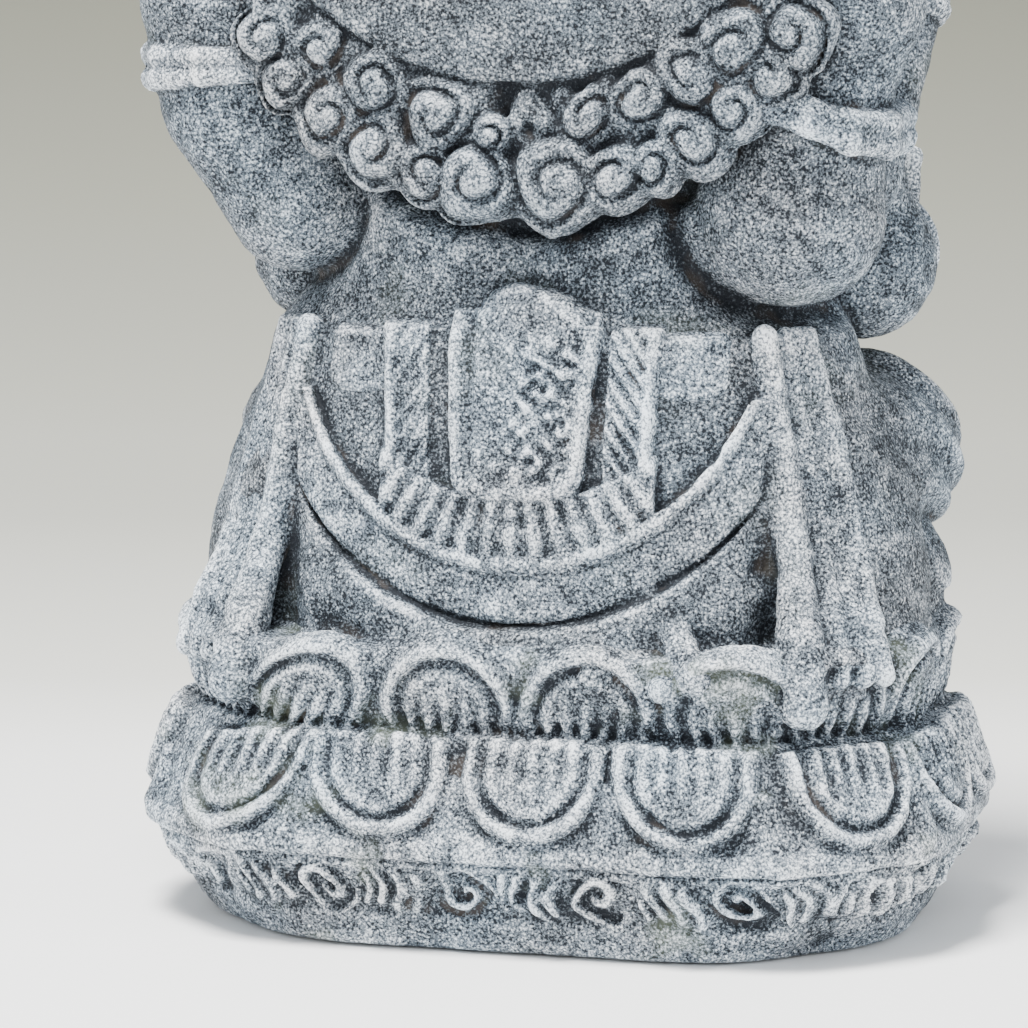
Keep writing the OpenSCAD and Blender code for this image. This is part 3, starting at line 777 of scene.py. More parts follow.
@pair("rear_upper_arm", BODY, (38, -6, SEAT_Z + 80), (110, 54, NECK_Z + 16), blend=1.5)
def rear_upper_arm(P, s):
    if s == LEFT:
        return chain(P, [REAR_SHOULDER, (79, 26, NECK_Z - 34), (67, 26, SEAT_Z + 111)], [24, 22.5, 18.5], 6)
    return chain(P, [(79, 27, NECK_Z - 9), (68, 27, NECK_Z - 34), (64, 25, SEAT_Z + 111)], [19.5, 19, 25], 8)


@pair("rear_forearm", BODY, (54, -30, SEAT_Z + 94), (110, 28, NECK_Z + 2), blend=2.5)
def rear_forearm(P, s):
    start = (REAR_FOREARM[0], REAR_FOREARM[1], REAR_FOREARM[2] + 6)
    return smax(limb(P, start, raised(s, REAR_WRIST), 15.5, 13.5)[0], P[2] - NECK_Z - 2, 2)


@pair("rear_hand", BODY, (71, -32, NECK_Z - 8), (116, 2, NECK_Z + 38), blend=3)
def rear_hand(P, s):
    x, y, z = shift(P, raised(s, REAR_HAND))
    palm = ellipsoid((x, y, z), (0, 2, -4), (11, 9, 14))
    fingers = []
    for i in range(4):
        knuckle = 3.5 * (1.5 - i)
        joints = [(9, -1, 3 + knuckle), (7, -10, 3 + knuckle), (-5, -10, 2 + knuckle)]
        fingers.append(chain((x, y, z), joints, [3.2, 3.2, 2.8], 1))
    thumb = chain((x, y, z), [(-8, 2, 0), (-8, -8, 8), (0, -11, 10)], [3.8, 3.4, 3.0], 1)
    return union([palm, union(fingers, 0.7), thumb], 2)


@pair("front_upper_arm", BODY, (40, -46, SEAT_Z + 70), (98, 14, NECK_Z + 2), blend=1.5)
def front_upper_arm(P, s):
    return chain(P, [FRONT_SHOULDER, (69, -17, SEAT_Z + 116), FRONT_ELBOW], [20, 15.5, 20], 5)


@pair("front_forearm", BODY, (56, -62, SEAT_Z + 74), (100, 0, SEAT_Z + 118), blend=3)
def front_forearm(P, s):
    f, _ = limb(P, FRONT_ELBOW, FRONT_WRIST, 19.5, 13)
    x, y, z = shift(P, FRONT_ELBOW)
    curl_ = np.cos(2 * math.pi * length(y - 2, z) / 9 - np.arctan2(z, y - 2)) * ramp(x, 8, 14)
    return f - 0.9 * curl_ * (1 - ramp(length(y, z), 15, 19))


@mass("right_front_hand", ["right_front_hand"], BODY,
      (-90, -72, SEAT_Z + 84), (-58, -42, SEAT_Z + 128), blend=2)
def right_front_hand(P):
    x, y, z = shift(P, side(RIGHT, FRONT_HAND))
    palm = ellipsoid((x, y, z), (0, 0, -3), (10.5, 6.5, 12))
    fingers = []
    for i in range(4):
        root, tip = (5.8 * (1.5 - i) * 0.75, -1, 4), (5.8 * (1.5 - i) * 0.85, -3, 16 - abs(i - 1.4))
        fingers.append(capsule((x, y, z), root, tip, 3.0, 2.4))
    thumb = chain((x, y, z), [(7, 0, -8), (12, -2, 0), (11, -4, 7)], [3.6, 3.0, 2.4], 1)
    return smin(smin(palm, union(fingers), 1.5), thumb, 2)


@mass("left_front_hand", ["left_front_hand"], BODY, (58, -76, SEAT_Z + 86), (90, -42, SEAT_Z + 106), blend=2)
def left_front_hand(P):
    x, y, z = shift(P, FRONT_HAND)
    palm = ellipsoid((x, y, z), (0, -1, -10), (12, 13, 6))
    fingers = []
    for i in range(4):
        root, tip = (5.2 * (i - 1.5), -8, -10), (5.0 * (i - 1.5), -17, -5)
        fingers.append(capsule((x, y, z), root, tip, 3.0, 2.4))
    return smax(smin(palm, union(fingers), 1.5), z + 4, 1)


@mass("sweets_bowl", ["sweets_bowl"], TRIM, (56, -76, SEAT_Z + 98), (90, -42, SEAT_Z + 120), blend=0.8)
def sweets_bowl(P):
    x, y, z = shift(P, (FRONT_HAND[0], FRONT_HAND[1] - 2, FRONT_HAND[2] - 6))
    rad = length(x, y)
    bowl = smax(rad - 9 - 6 * ramp(z, 0, 9), slab(z - 4, 5), 1.5)
    heap = ellipsoid((x, y, z), (0, 0, 8), (10, 10, 6))
    for i in range(5):
        a = 2 * math.pi * i / 5
        heap = np.minimum(heap, ball((x, y, z), (9 * math.cos(a), 9 * math.sin(a), 9.5), 4.4))
    return smin(bowl, np.minimum(heap, ball((x, y, z), (0, 0, 12.5), 4.8)), 0.8)


def band(P, a, b, t, r, width, bulge):
    """A raised band round a limb from a to b, t of the way along it."""
    a, b = np.array(a, float), np.array(b, float)
    axis = (b - a) / np.linalg.norm(b - a)
    x, y, z = shift(P, a + (b - a) * t)
    along = x * axis[0] + y * axis[1] + z * axis[2]
    out = length(x - along * axis[0], y - along * axis[1], z - along * axis[2])
    beads = 0.5 * np.cos(2 * math.pi * along / (width * 0.62))
    return smax(out - r - bulge - beads, slab(along, width / 2), 1.6)


@mass("armlets", ["armlets"], TRIM, (-112, -6, SEAT_Z + 112), (112, 58, NECK_Z - 6), blend=1.8)
def armlets(P):
    level = [
        (54, 48, SEAT_Z + 142), (68, 51, SEAT_Z + 145), (84, 52, SEAT_Z + 144), (98, 44, SEAT_Z + 143),
        (105, 29, SEAT_Z + 142), (103, 14, SEAT_Z + 143),
    ]
    sloping = [
        (52, 53, SEAT_Z + 137), (63, 53, SEAT_Z + 138), (74, 51, SEAT_Z + 134), (83, 45, SEAT_Z + 130),
        (90, 34, SEAT_Z + 128), (91, 18, SEAT_Z + 129),
    ]
    strands = []
    for s, path, gap, size in ((LEFT, level, 6.5, 2.4), (RIGHT, sloping, 5.2, 2.9)):
        for k in (0, 1):
            points = [(x, y, z + gap * k * (0.5 + 0.12 * i)) for i, (x, y, z) in enumerate(path)]
            strands.append(chain(mirrored(P, s), points, [size * (0.85 + 0.1 * i) for i in range(6)], 1.5))
    return union(strands, 1.2)


@mass("bracelets", ["bracelets"], TRIM, (-112, -66, SEAT_Z + 76), (114, 12, NECK_Z + 4), blend=0.8)
def bracelets(P):
    rings = []
    for s in (LEFT, RIGHT):
        Q = mirrored(P, s)
        rings.append(band(Q, REAR_FOREARM, raised(s, REAR_WRIST), 0.88, 14.4, 7, 1.2))
        rings.append(band(Q, FRONT_ELBOW, FRONT_WRIST, 0.82, 14.2, 6, 1.8))
    return union(rings)


@mass("anklets", ["anklets"], TRIM, (-50, -72, SEAT_Z - 2), (50, -30, SEAT_Z + 32), blend=0.8)
def anklets(P):
    Q = np.abs(P[0]), P[1], P[2]
    return smax(band(Q, ANKLE, SHIN_TOP, 0.2, 13.4, 5.5, 1.6), SEAT_Z - 2 - P[2], 1)


@mass("necklace", ["necklace"], TRIM, (-40, -54, NECK_Z - 56), (40, -10, NECK_Z - 14), blend=0.8)
def necklace(P):
    x, y, z = P
    outline, across = arc_band(P, NECK_Z - 50, 46, NECK_Z - 37, 38, 36)
    beads = 0.8 * np.cos(np.arctan2(x, NECK_Z - 4 - z) * 30) * bell(across + 0.5, 0.5)
    rim = 0.9 * bell(across - 0.6, 0.25)
    return smax(smax(torso_core(P) - 2.8 - beads - rim, outline, 1), y + 6, 1)


@mass("sacred_thread", ["sacred_thread"], TRIM, (-58, -70, SEAT_Z + 58), (58, 0, SEAT_Z + 74), blend=0.8)
def sacred_thread(P):
    x, y, z = P
    height = z - SEAT_Z - 65.5 - 0.002 * x * x
    twist = 0.6 * np.cos(2 * math.pi * (np.arctan2(x, -y) * 40 + height * 1.6) / 6.5)
    rope = smax(ellipsoid(P, BELLY_C, BELLY_R) - 2.2 - twist, np.abs(height) - 3.2, 1.8)
    return smax(rope, y, 1)


# ---------------------------------------------------------------- hair and disc


def halo_polar(P):
    """Distance from the disc's middle, and degrees from straight down, growing towards +X."""
    x, z = P[0], P[2] - HALO_Z
    return length(x, z), np.degrees(np.arctan2(x, -z))


def hair_edge(P):
    """How far from the middle of the disc the hair reaches: far below it and less at its sides."""
    x, z = P[0], P[2] - HALO_Z
    low = np.abs(np.arctan2(x, -z))
    return HALO_R + 12 + 21 * (1 - ramp(low, 0.2, 1.0)) + 1.2 * np.cos(low * 14)


@mass("hair_mantle", ["hair_mantle"], "stone_halo",
      (-84, 30, HALO_Z - HALO_R - 38), (84, 62, HALO_Z - 30), blend=1.5)
def hair_mantle(P):
    rad, angle = halo_polar(P)
    edge = smax(rad - hair_edge(P), HALO_R - 10 - rad, 2)
    sides = (np.abs(angle) - 56) * 1.5
    sway = np.radians(angle) * 46 + 0.4 * rad + 1.5 * np.sin(rad * 0.35)
    locks = 1.3 * np.cos(sway) * ramp(rad, HALO_R - 1, HALO_R + 3)
    parting = 2.5 * bell(P[0] - 2, 1.6)
    proud = 4.5 * ramp(rad, HALO_R - 4, HALO_R + 1)
    return smax(smax(smax(edge, sides, 3), P[1] - HALO_Y - 1 - proud - locks + parting, 4), 32 - P[1], 1)


def snail(P, angle, reach, r, hand, proud):
    """A lock of hair on the mantle: a bulging dome with a spiral groove of one turn cut into it."""
    a = math.radians(angle)
    x, y, z = shift(P, (math.sin(a) * reach, HALO_Y + 1, HALO_Z - math.cos(a) * reach))
    x = x + 0.8 * np.sin(z * 0.3 + 7 * reach)
    z = z + 0.8 * np.sin(x * 0.33 + 3 * angle)
    dome = ellipsoid((x, y, z), (0, 0, 0), (r, proud, r))
    rho = length(x, z)
    phase = rho / (r * 0.52) - hand * (np.arctan2(z, x) + angle) / (2 * math.pi)
    cut = bell(phase - np.floor(phase) - 0.5, 0.17)
    return dome + 2.2 * cut * (1 - ramp(rho, r * 0.8, r * 1.0)) * ramp(rho, r * 0.12, r * 0.3)


def curl_group(P, coils):
    """Locks of hair, each given by its angle, distance from the disc's middle, radius, hand and height."""
    locks = []
    for angle, reach, r, hand, proud in coils:
        a = math.radians(angle)
        cx, cz = math.sin(a) * reach, HALO_Z - math.cos(a) * reach
        close = (np.abs(P[0] - cx) < r + 8) & (np.abs(P[2] - cz) < r + 8)
        locks.append(np.where(close, snail(P, angle, reach, r, hand, proud), FAR))
    return union(locks, 1.2)


INNER_COILS = (
    (44, 94, 10, 1, 8), (36, 86, 9.5, -1, 8), (25, 87.5, 11, 1, 10), (13.2, 89, 11.5, -1, 11),
    (4.5, 91, 7.5, 1, 9), (-12.6, 88, 9.5, 1, 10), (-21.3, 88, 10, -1, 10), (-30.7, 87.5, 11.5, 1, 10),
    (-39.5, 88, 12.5, -1, 10), (-47, 96, 11, 1, 9),
)
OUTER_COILS = (
    (38, 99, 9.5, -1, 8), (29.4, 100, 11, 1, 9), (20.8, 102, 11.5, -1, 10), (13.2, 103.5, 9.5, 1, 10),
    (5.9, 103.5, 12.5, -1, 12), (-5.9, 103.5, 14, 1, 12), (-14.6, 104, 10.5, -1, 11), (-20.4, 104, 9, 1, 10),
    (-26.5, 102, 11, -1, 9), (-33.5, 101, 9.5, 1, 9), (-40, 100, 9.5, -1, 8),
)


@mass("hair_curls_inner", ["hair_curls_inner"], "stone_halo",
      (-78, 38, HALO_Z - 102), (78, 66, HALO_Z - 54), blend=1.2)
def hair_curls_inner(P):
    strands = []
    for lean in (-3, 1.5, 6):
        points = [(-3 - lean, HALO_Y + 2, HALO_Z - 81), (-5 - 1.6 * lean, HALO_Y + 5, HALO_Z - 88),
                  (-4 - 0.8 * lean, HALO_Y + 3, HALO_Z - 96)]
        strands.append(chain(P, points, [1.9, 2.3, 1.8], 1))
    return smin(curl_group(P, INNER_COILS), union(strands, 0.8), 1)


@mass("hair_curls_outer", ["hair_curls_outer"], "stone_halo",
      (-78, 36, HALO_Z - 118), (78, 66, HALO_Z - 64), blend=1.2)
def hair_curls_outer(P):
    return curl_group(P, OUTER_COILS)


@mass("halo", ["halo"], "stone_halo", (-HALO_R - 1, HALO_Y - 2, HALO_Z - HALO_R - 1),
      (HALO_R + 1, HALO_HIGH[1] + 3, HALO_Z + HALO_R + 1), blend=0.3)
def halo(P):
    rad, _ = halo_polar(P)
    thick = HALO_HIGH[1] - HALO_Y
    dome = P[1] - HALO_Y - thick + 2.6 * (rad / HALO_R) ** 2
    return smax(smax(rad - HALO_R, dome, 2.5), HALO_Y - 1 - P[1], 1.5)


# ---------------------------------------------------------------- head


@mass("neck", ["neck"], BODY, (-32, -34, NECK_Z - 14), (32, 28, NECK_Z + 14), blend=6)
def neck(P):
    return smax(length(P[0], P[1] + 4) - 28, slab(P[2] - NECK_Z, 13), 3)


@mass("head", ["head"], BODY, (-42, -50, NECK_Z), (42, 34, HALO_Z + 24), blend=4)
def head(P):
    x, y, z = P
    f = smax(ellipsoid(P, HEAD_C, HEAD_R), z - HALO_Z - 24, 3)
    brow = 2.5 * bell(z - NECK_Z - 60 - 0.01 * x * x, 4) * ramp(-y, 20, 34)
    temples = 3 * bell(length(np.abs(x) - 17, z - NECK_Z - 66), 11) * ramp(-y, 15, 30)
    f = f - brow - temples
    for s in (LEFT, RIGHT):
        X, Y, Z = shift(P, (s * 17, -38, NECK_Z + 49))
        socket = ellipsoid((X, Y, Z), (0, 0, 0), (8.5, 6, 5))
        f = smax(f, -socket, 3)
        eye = ellipsoid((X, Y, Z), (0, 3.5, 0), (6.5, 5, 3.6))
        lids = 0.8 * bell(np.abs(Z + 0.02 * X * X) - 2.2, 0.8)
        f = smin(f, eye - lids, 1)
    return f


TRUNK_LINE = [
    (0, -38, NECK_Z + 42), (0, -51, NECK_Z + 16), (0, -58, NECK_Z - 8), (3, -61, NECK_Z - 32),
    (14, -63, NECK_Z - 51), (30, -64, NECK_Z - 58), (44, -64, NECK_Z - 51),
]
TRUNK_R = [17, 14, 12.5, 11, 9.5, 8.5, 7.5]


@mass("trunk", ["trunk"], BODY, (-20, -78, NECK_Z - 70), (56, -22, NECK_Z + 62), blend=4)
def trunk(P):
    x, y, z = P
    f = chain(P, TRUNK_LINE, TRUNK_R, 3)
    hollow = ball(P, (50, -66, NECK_Z - 47), 4)
    along = np.where(z > NECK_Z - 44, z, NECK_Z - 44 - (x - 6) * 0.8)
    wrinkles = 0.55 * np.cos(2 * math.pi * along / 7.5) * ramp(-y, 50, 58)
    return smax(f + wrinkles, -hollow, 1.5)


@pair("ear", BODY, (22, 0, NECK_Z + 8), (82, 22, NECK_Z + 82), blend=2.5)
def ear(P, s):
    x, y, z = P
    X, Z = x - 52, z - NECK_Z - 50
    long = np.where(Z > 0, 26.0, 38.0)
    rim = (length(X / 26.0, Z / long) - 1) * 26
    dish = 3.2 * (1 - ramp(-rim, 4, 14)) - 1.0
    folds = 0.8 * np.cos(np.arctan2(Z, X + 30) * 22) * ramp(-rim, 3, 8)
    front = 8.5 + dish + folds
    return smax(smax(rim, -(y - 16) - front, 2.5), y - 16.5, 1.5)


def tusk(P, s, length_):
    root = np.array((18.0, -34.0, NECK_Z + 20))
    aim = np.array((0.22, -0.80, -0.45))
    tip = root + aim / np.linalg.norm(aim) * length_
    return capsule(P, root, tip, 5.2, 3.6 if s == LEFT else 2.2)


@mass("left_tusk", ["left_tusk"], TRIM, (8, -56, NECK_Z), (32, -26, NECK_Z + 30), blend=1.0)
def left_tusk(P):
    return tusk(P, LEFT, 13)


@mass("right_tusk", ["right_tusk"], TRIM, (-34, -68, NECK_Z - 6), (-8, -26, NECK_Z + 30), blend=1.0)
def right_tusk(P):
    return tusk(mirrored(P, RIGHT), RIGHT, 26)


# ---------------------------------------------------------------- crown

CROWN_Y = -6
CROWN_Z = NECK_Z + 72


def crown_polar(P):
    x, y, z = shift(P, (0, CROWN_Y, CROWN_Z))
    return length(x, y), np.arctan2(x, -y), z


@mass("crown_band", ["crown_band"], TRIM, (-38, -44, CROWN_Z - 1), (38, 32, CROWN_Z + 11), blend=1.0)
def crown_band(P):
    rad, angle, z = crown_polar(P)
    beads = 0.9 * np.cos(angle * 26) * bell(z - 4.5, 3.5)
    return smax(rad - 36.5 - beads, slab(z - 4.7, 5.2), 2)


@mass("crown_tiers", ["crown_tiers"], BODY, (-37, -43, CROWN_Z + 6), (37, 31, TOTAL_H - 14), blend=1.0)
def crown_tiers(P):
    rad, angle, z = crown_polar(P)
    rise = (TOTAL_H - 16 - CROWN_Z - 9) / 4
    step = np.floor(clamp01((z - 9) / (4 * rise) * 0.999) * 4)
    within = clamp01((z - 9 - step * rise) / rise)
    profile = 34 - 6.5 * step - 5.5 * ramp(within, 0.35, 1) - 0.8 * (1 - ramp(within, 0, 0.2))
    leaves = 0.9 * np.cos(angle * 16) * bell(within - 0.45, 0.3)
    return smax(rad - profile - leaves, slab(z - 7 - 2 * rise, 2 * rise + 2), 1.5)


@mass("crown_finial", ["crown_finial"], TRIM, (-11, -18, TOTAL_H - 18), (11, 6, TOTAL_H), blend=1.0)
def crown_finial(P):
    rad, _, _ = crown_polar(P)
    bud = ellipsoid(P, (0, CROWN_Y, TOTAL_H - 10), (9, 9, 7))
    return smin(bud, smax(rad - 3.0 + 0.12 * (P[2] - TOTAL_H + 6), slab(P[2] - TOTAL_H + 8, 7.6), 1.5), 3)


# ---------------------------------------------------------------- what the rear hands hold


@mass("axe", ["axe"], TRIM, (-110, -26, REAR_HAND[2] - 24), (-76, -2, REAR_HAND[2] + 60), blend=1.0)
def axe(P):
    x, y, z = shift(P, side(RIGHT, raised(RIGHT, REAR_HAND)))
    shaft = smax(length(x, y) - 4, slab(z - 18, 40), 1.5)
    X, Z = x + 2, z - 34
    bit = smax(length(X + 2, Z) - 16, -(length(X + 2, Z - 20) - 11), 1)
    bit = smax(smax(bit, -(length(X + 2, Z + 20) - 11), 1), X - 4, 1)
    thick = 3.2 - 0.11 * np.abs(X)
    return smin(shaft, smax(bit, np.abs(y) - thick, 1), 1.5)


@mass("noose", ["noose"], TRIM, (70, -22, REAR_HAND[2] - 22), (118, -6, REAR_HAND[2] + 56), blend=1.0)
def noose(P):
    x, y, z = shift(P, raised(LEFT, REAR_HAND))
    shaft = smax(length(x, y) - 4, slab(z + 1, 19), 1.5)
    X, Z = x + 6, z - 34
    strands = 0.5 * np.cos(np.arctan2(X, Z) * 18 + np.arctan2(y, length(X, Z) - 16) * 2)
    rope = length(length(X, Z) - 16, y) - 3.7 - strands
    return smin(shaft, rope, 1)


# ---------------------------------------------------------------- carving the pieces


def weathering(points):
    """Height of the stone's own roughness at an (n, 3) array of points: chisel waves, pits and chips."""
    rough = 0.35 * noise(points, 9, 1) + 0.22 * noise(points, 4, 2) + 0.16 * noise(points, 2.2, 3)
    pits = np.minimum(noise(points, 5.5, 4) + 0.42, 0) * 1.3
    low = 1 - clamp01((points[:, 2] - 2) / 12)
    chips = low * np.minimum(noise(points, 8, 5) + 0.15, 0) * 3.4
    return rough + pits + chips


def roundness(whole, axes, points):
    """How hollow (above nought) or proud (below nought) the stone is at each point, at three sizes."""
    here = lookup(whole, axes, points)
    out = np.zeros(len(points))
    for reach in (1.4, 3.0, 6.0):
        around = sum(lookup(whole, axes, points + s * d) for d in np.eye(3) * reach for s in (-1, 1)) / 6
        out -= (around - here) / reach
    return out


def carve(mass_):
    """The piece's mesh: vertices in millimetres, quads, and how hollow the stone is at each vertex."""
    axes = mass_.axes()
    whole, into = stone_field(mass_)
    own = np.maximum(whole + SEAM_SLOPE * np.maximum(into, 0), into - SEAM_DEPTH)
    points, quads = surface_net(own, axes)
    outward = gradient(whole, axes, points)
    move = weathering(points)
    hollow = roundness(whole, axes, points) * 1.8 - 0.35 * move
    points = points + outward * (move * clamp01(points[:, 2]))[:, None]
    points[:, 2] = np.maximum(points[:, 2], 0)
    return points, quads, hollow


def make_piece(mass_):
    points, quads, hollow = carve(mass_)
    mesh = bpy.data.meshes.new(mass_.name + "_carved")
    mesh.vertices.add(len(points))
    mesh.vertices.foreach_set("co", (points * MM).astype(np.float32).ravel())
    mesh.loops.add(quads.size)
    mesh.loops.foreach_set("vertex_index", quads.astype(np.int32).ravel())
    mesh.polygons.add(len(quads))
    mesh.polygons.foreach_set("loop_start", np.arange(0, quads.size, 4, dtype=np.int32))
    mesh.polygons.foreach_set("use_smooth", np.ones(len(quads), dtype=bool))
    mesh.update(calc_edges=True)
    layer = mesh.attributes.new("hollow", "FLOAT", "POINT")
    layer.data.foreach_set("value", hollow.astype(np.float32))
    piece = bpy.data.objects.new(mass_.name + "_piece", mesh)
    bpy.context.scene.collection.objects.link(piece)
    mesh.materials.append(MATERIALS[mass_.slot])
    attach(piece, "root")
    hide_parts(*mass_.nodes)
    return piece


# ---------------------------------------------------------------- stone


class Shader:
    """Small helper that adds nodes to one material and wires them."""

    def __init__(self, name):
        self.material = bpy.data.materials.new(name)
        self.material.use_nodes = True
        self.tree = self.material.node_tree
        self.tree.nodes.clear()

    def node(self, kind, settings=None, **inputs):
        made = self.tree.nodes.new(kind)
        for key, value in (settings or {}).items():
            setattr(made, key, value)
        for key, value in inputs.items():
            socket = made.inputs[int(key[1:])] if key[0] == "i" and key[1:].isdigit() else made.inputs[key]
            self.set(socket, value)
        return made

    def set(self, socket, value):
        if isinstance(value, bpy.types.NodeSocket):
            self.tree.links.new(value, socket)
        else:
            socket.default_value = value

    def math(self, operation, a, b):
        return self.node("ShaderNodeMath", {"operation": operation}, i0=a, i1=b).outputs[0]

    def add(self, a, b):
        return self.math("ADD", a, b)

    def less(self, a, b):
        return self.math("SUBTRACT", a, b)

    def times(self, a, b):
        return self.math("MULTIPLY", a, b)

    def span(self, value, low, high, to_low=0.0, to_high=1.0):
        made = self.node("ShaderNodeMapRange", {"clamp": True},
                         i0=value, i1=low, i2=high, i3=to_low, i4=to_high)
        return made.outputs[0]

    def mix(self, amount, a, b, blend="MIX"):
        made = self.node("ShaderNodeMix", {"data_type": "RGBA", "blend_type": blend})
        for socket, value in ((made.inputs[0], amount), (made.inputs[6], a), (made.inputs[7], b)):
            self.set(socket, value)
        return made.outputs[2]

    def noise(self, where, scale, detail=2.0, rough=0.5, seed=0.0):
        made = self.node("ShaderNodeTexNoise", {"noise_dimensions": "4D"}, Vector=where, W=seed, Scale=scale,
                         Detail=detail, Roughness=rough)
        return made.outputs[0]


DARK = (0.009, 0.012, 0.017, 1)
MIDDLE = (0.168, 0.202, 0.234, 1)
PALE = (0.90, 0.96, 1.0, 1)
MOSS = (0.17, 0.2, 0.13, 1)
EARTH = (0.14, 0.105, 0.075, 1)


def stone(name, tone, pale, moss, seed):
    """Dark speckled stone whose raised parts are worn pale and lifted by painted highlight, and whose
    hollows are darkened by painted shade and hold a little brown earth.
    """
    s = Shader(name)
    where = s.node("ShaderNodeTexCoord").outputs["Object"]
    hollow = s.node("ShaderNodeAttribute", {"attribute_name": "hollow"}).outputs["Fac"]
    grain = s.noise(where, 1400, 2.0, 0.62, seed)
    fine = s.noise(where, 2400, 1.0, 0.5, seed + 3)
    crystals = s.node("ShaderNodeTexVoronoi", Vector=where, Scale=1050).outputs["Distance"]
    crystals = s.span(crystals, 0.15, 0.75, 0.62, 0.38)
    patch = s.noise(where, 70, 3.0, 0.6, seed + 7)
    wide = s.noise(where, 18, 2.0, 0.5, seed + 11)
    salt = s.add(s.times(grain, 0.5), s.times(fine, 0.2))
    salt = s.add(salt, s.times(crystals, 0.3))
    salt = s.add(s.times(s.less(salt, 0.5), 3.0), 0.5)
    mottle = s.less(s.noise(where, 210, 3.0, 0.62, seed + 17), 0.5)
    proud = s.span(hollow, -0.1, -1.5)
    deep = s.span(hollow, 0.2, 1.5)
    # Painted highlight and wear: raised parts are lifted pale, partly a worn pale finish and partly painted
    # highlight where light catches the relief; worn adds random pale patches.
    worn = s.times(s.span(patch, 0.42, 0.72), 0.13)
    highlight_and_wear = s.add(s.times(proud, 0.27), worn)
    level = s.add(s.add(salt, highlight_and_wear), pale - 0.21)
    # Painted shade: hollows are darkened, standing in for the shade that falls into creases and recesses.
    level = s.less(level, s.times(deep, 0.25))
    level = s.add(level, s.times(mottle, 0.65))
    level = s.add(level, s.times(s.less(wide, 0.5), 0.2))
    light = s.mix(s.span(level, 0.50, 0.82), MIDDLE, PALE)
    colour = s.mix(s.span(level, 0.22, 0.48), DARK, light)
    cool = s.span(s.noise(where, 30, 2.0, 0.5, seed + 13), 0.35, 0.65)
    colour = s.mix(1.0, colour, s.mix(cool, (1.04, 0.99, 0.97, 1), (0.95, 1.0, 1.05, 1)), "MULTIPLY")
    colour = s.mix(1.0, colour, (tone, tone, tone, 1), "MULTIPLY")
    # Painted shade: the hollows are mixed further towards DARK.
    colour = s.mix(s.times(deep, 0.5), colour, DARK)
    lodged = s.span(s.noise(where, 80, 2.0, 0.5, seed + 5), 0.54, 0.66)
    earth = s.times(s.span(deep, 0.3, 0.7), lodged)
    colour = s.mix(s.times(earth, 0.22), colour, EARTH)
    green = s.times(s.span(s.noise(where, 38, 3.0, 0.6, seed + 9), 0.56, 0.68), moss)
    colour = s.mix(green, colour, MOSS)
    pitted = s.times(s.noise(where, 620, 3.0, 0.6, seed), 0.8)
    height = s.add(s.times(grain, 0.6), pitted)
    bump = s.node("ShaderNodeBump", Strength=0.9, Distance=0.0011, Height=height)
    rough = s.span(salt, 0.3, 0.7, 0.86, 0.62)
    surface = s.node("ShaderNodeBsdfPrincipled", Roughness=rough, Normal=bump.outputs[0])
    surface.inputs["Specular IOR Level"].default_value = 0.28
    s.set(surface.inputs["Base Color"], colour)
    s.node("ShaderNodeOutputMaterial", Surface=surface.outputs[0])
    return s.material


# Partly painted light: the tones and pale offsets make the disc and figure darker and the base and ornaments
# lighter, standing in for light falling more on the idol's lower parts than on its top.
MATERIALS = {
    "stone_base": stone("carved_base_stone", 1.0, 0.10, 0.30, 1.0),
    "stone_figure": stone("carved_figure_stone", 0.84, 0.085, 0.08, 20.0),
    "stone_ornament": stone("paler_ornament_stone", 1.0, 0.12, 0.05, 40.0),
    "stone_halo": stone("smooth_disc_stone", 0.66, 0.08, 0.0, 60.0),
}


# ---------------------------------------------------------------- stage, light and camera


def sweep_material():
    """Pale paper with painted shade: lightest under the idol and painted greyer up the curve behind it."""
    s = Shader("sweep_paper")
    where = s.node("ShaderNodeTexCoord").outputs["Object"]
    away = (-math.sin(AZIMUTH), math.cos(AZIMUTH), 0)
    reach = s.node("ShaderNodeVectorMath", {"operation": "DOT_PRODUCT"}, i0=where, i1=away).outputs["Value"]
    # Painted shade: the grey falls from near white on the floor to dark up the curve and turns yellower as
    # it darkens, standing in for light falling off behind the idol.
    ramp_ = s.node("ShaderNodeValToRGB", i0=s.span(reach, -0.3, 1.5))
    stops = [(0.0, 0.98), (0.20, 0.97), (0.28, 0.90), (0.36, 0.69), (0.66, 0.51), (0.80, 0.31), (0.86, 0.22)]
    bands = ramp_.color_ramp.elements
    while len(bands) < len(stops):
        bands.new(0.5)
    for band_, (position, grey) in zip(bands, stops):
        band_.position = position
        band_.color = (grey, grey, grey * (0.74 + 0.26 * grey), 1)
    cloud = s.span(s.noise(where, 3, 2.0, 0.5), 0.3, 0.7)
    paper_with_painted_shade = s.mix(cloud, ramp_.outputs[0], (0.985, 0.985, 0.985, 1), "MULTIPLY")
    surface = s.node("ShaderNodeBsdfPrincipled", Roughness=0.9)
    s.set(surface.inputs["Base Color"], paper_with_painted_shade)
    s.node("ShaderNodeOutputMaterial", Surface=surface.outputs[0])
    return s.material


AZIMUTH = math.radians(195)
ELEVATION = math.radians(8)
DISTANCE = 1.25
VIEW_WIDTH = 0.2724
SENSOR_MM = 36
AIM = Vector((0.0143, 0.0038, 0.104))
TOWARDS_CAMERA = Vector((
    math.sin(AZIMUTH) * math.cos(ELEVATION),
    -math.cos(AZIMUTH) * math.cos(ELEVATION),
    math.sin(ELEVATION),
))


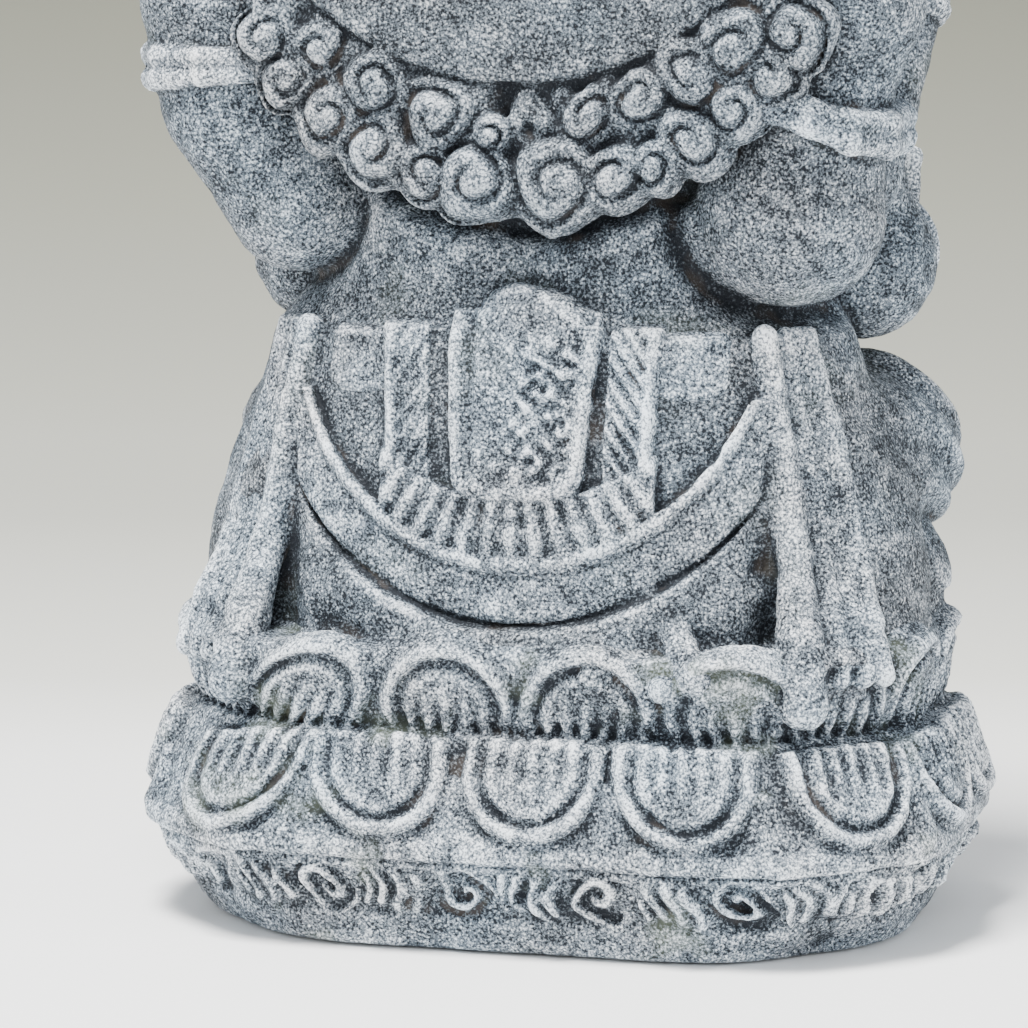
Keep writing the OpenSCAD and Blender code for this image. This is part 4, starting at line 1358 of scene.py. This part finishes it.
def add_sweep():
    """A seamless backdrop: floor under the idol, curving up behind it as the camera sees it."""
    near, far_, wide, bend = 2.2, 1.5, 3.2, 0.7
    profile = [(-near, 0.0), (0.0, 0.0), (far_ * 0.5, 0.0)]
    for i in range(13):
        a = math.radians(54 * i / 12)
        profile.append((far_ * 0.5 + bend * math.sin(a), bend * (1 - math.cos(a))))
    away = -Vector((TOWARDS_CAMERA.x, TOWARDS_CAMERA.y, 0)).normalized()
    across = Vector((away.y, -away.x, 0))
    vertices = []
    for reach, height in profile:
        for s in (-1, 1):
            v = away * reach + across * (s * wide)
            vertices.append((v.x, v.y, height - 0.0005))
    faces = [(2 * i, 2 * i + 1, 2 * i + 3, 2 * i + 2) for i in range(len(profile) - 1)]
    mesh = bpy.data.meshes.new("sweep")
    mesh.from_pydata(vertices, [], faces)
    for polygon in mesh.polygons:
        polygon.use_smooth = True
    mesh.materials.append(sweep_material())
    sweep = bpy.data.objects.new("studio_sweep", mesh)
    bpy.context.scene.collection.objects.link(sweep)
    return sweep


def add_light(name, direction, distance, size, power, colour=(1, 1, 1)):
    """A square soft light that looks at the idol; the direction is (right, up, towards the camera)."""
    flat = Vector((TOWARDS_CAMERA.x, TOWARDS_CAMERA.y, 0)).normalized()
    right = Vector((-flat.y, flat.x, 0))
    aim = right * direction[0] + Vector((0, 0, 1)) * direction[1] + flat * direction[2]
    where = aim.normalized() * distance
    lamp = bpy.data.lights.new(name, "AREA")
    lamp.shape = "SQUARE"
    lamp.size = size
    lamp.energy = power
    lamp.color = colour
    thing = bpy.data.objects.new(name, lamp)
    thing.location = AIM + where
    thing.rotation_euler = where.to_track_quat("Z", "Y").to_euler()
    bpy.context.scene.collection.objects.link(thing)
    return thing


def add_camera():
    lens = bpy.data.cameras.new("camera")
    lens.sensor_width = SENSOR_MM
    lens.lens = SENSOR_MM * DISTANCE / VIEW_WIDTH
    camera = bpy.data.objects.new("camera", lens)
    camera.location = AIM + TOWARDS_CAMERA * DISTANCE
    camera.rotation_euler = TOWARDS_CAMERA.to_track_quat("Z", "Y").to_euler()
    bpy.context.scene.collection.objects.link(camera)
    bpy.context.scene.camera = camera


def add_world():
    world = bpy.data.worlds.new("studio")
    world.use_nodes = True
    background = world.node_tree.nodes["Background"]
    background.inputs[0].default_value = (0.93, 0.96, 1.0, 1)
    background.inputs[1].default_value = 0.83
    bpy.context.scene.world = world


for m in MASSES:
    make_piece(m)

add_sweep()
add_light("overhead", (-0.2, 1.0, 0.3), 1.4, 0.45, 62, (1, 0.99, 0.97))
add_light("left_fill", (-1.0, 0.35, 0.7), 2.0, 0.9, 9, (0.93, 0.97, 1))
add_light("right_fill", (1.0, 0.3, 0.5), 2.0, 0.9, 17, (0.93, 0.97, 1))
add_light("low_fill", (0.1, 0.05, 1.0), 2.2, 1.2, 6, (0.95, 0.98, 1))
add_camera()
add_world()
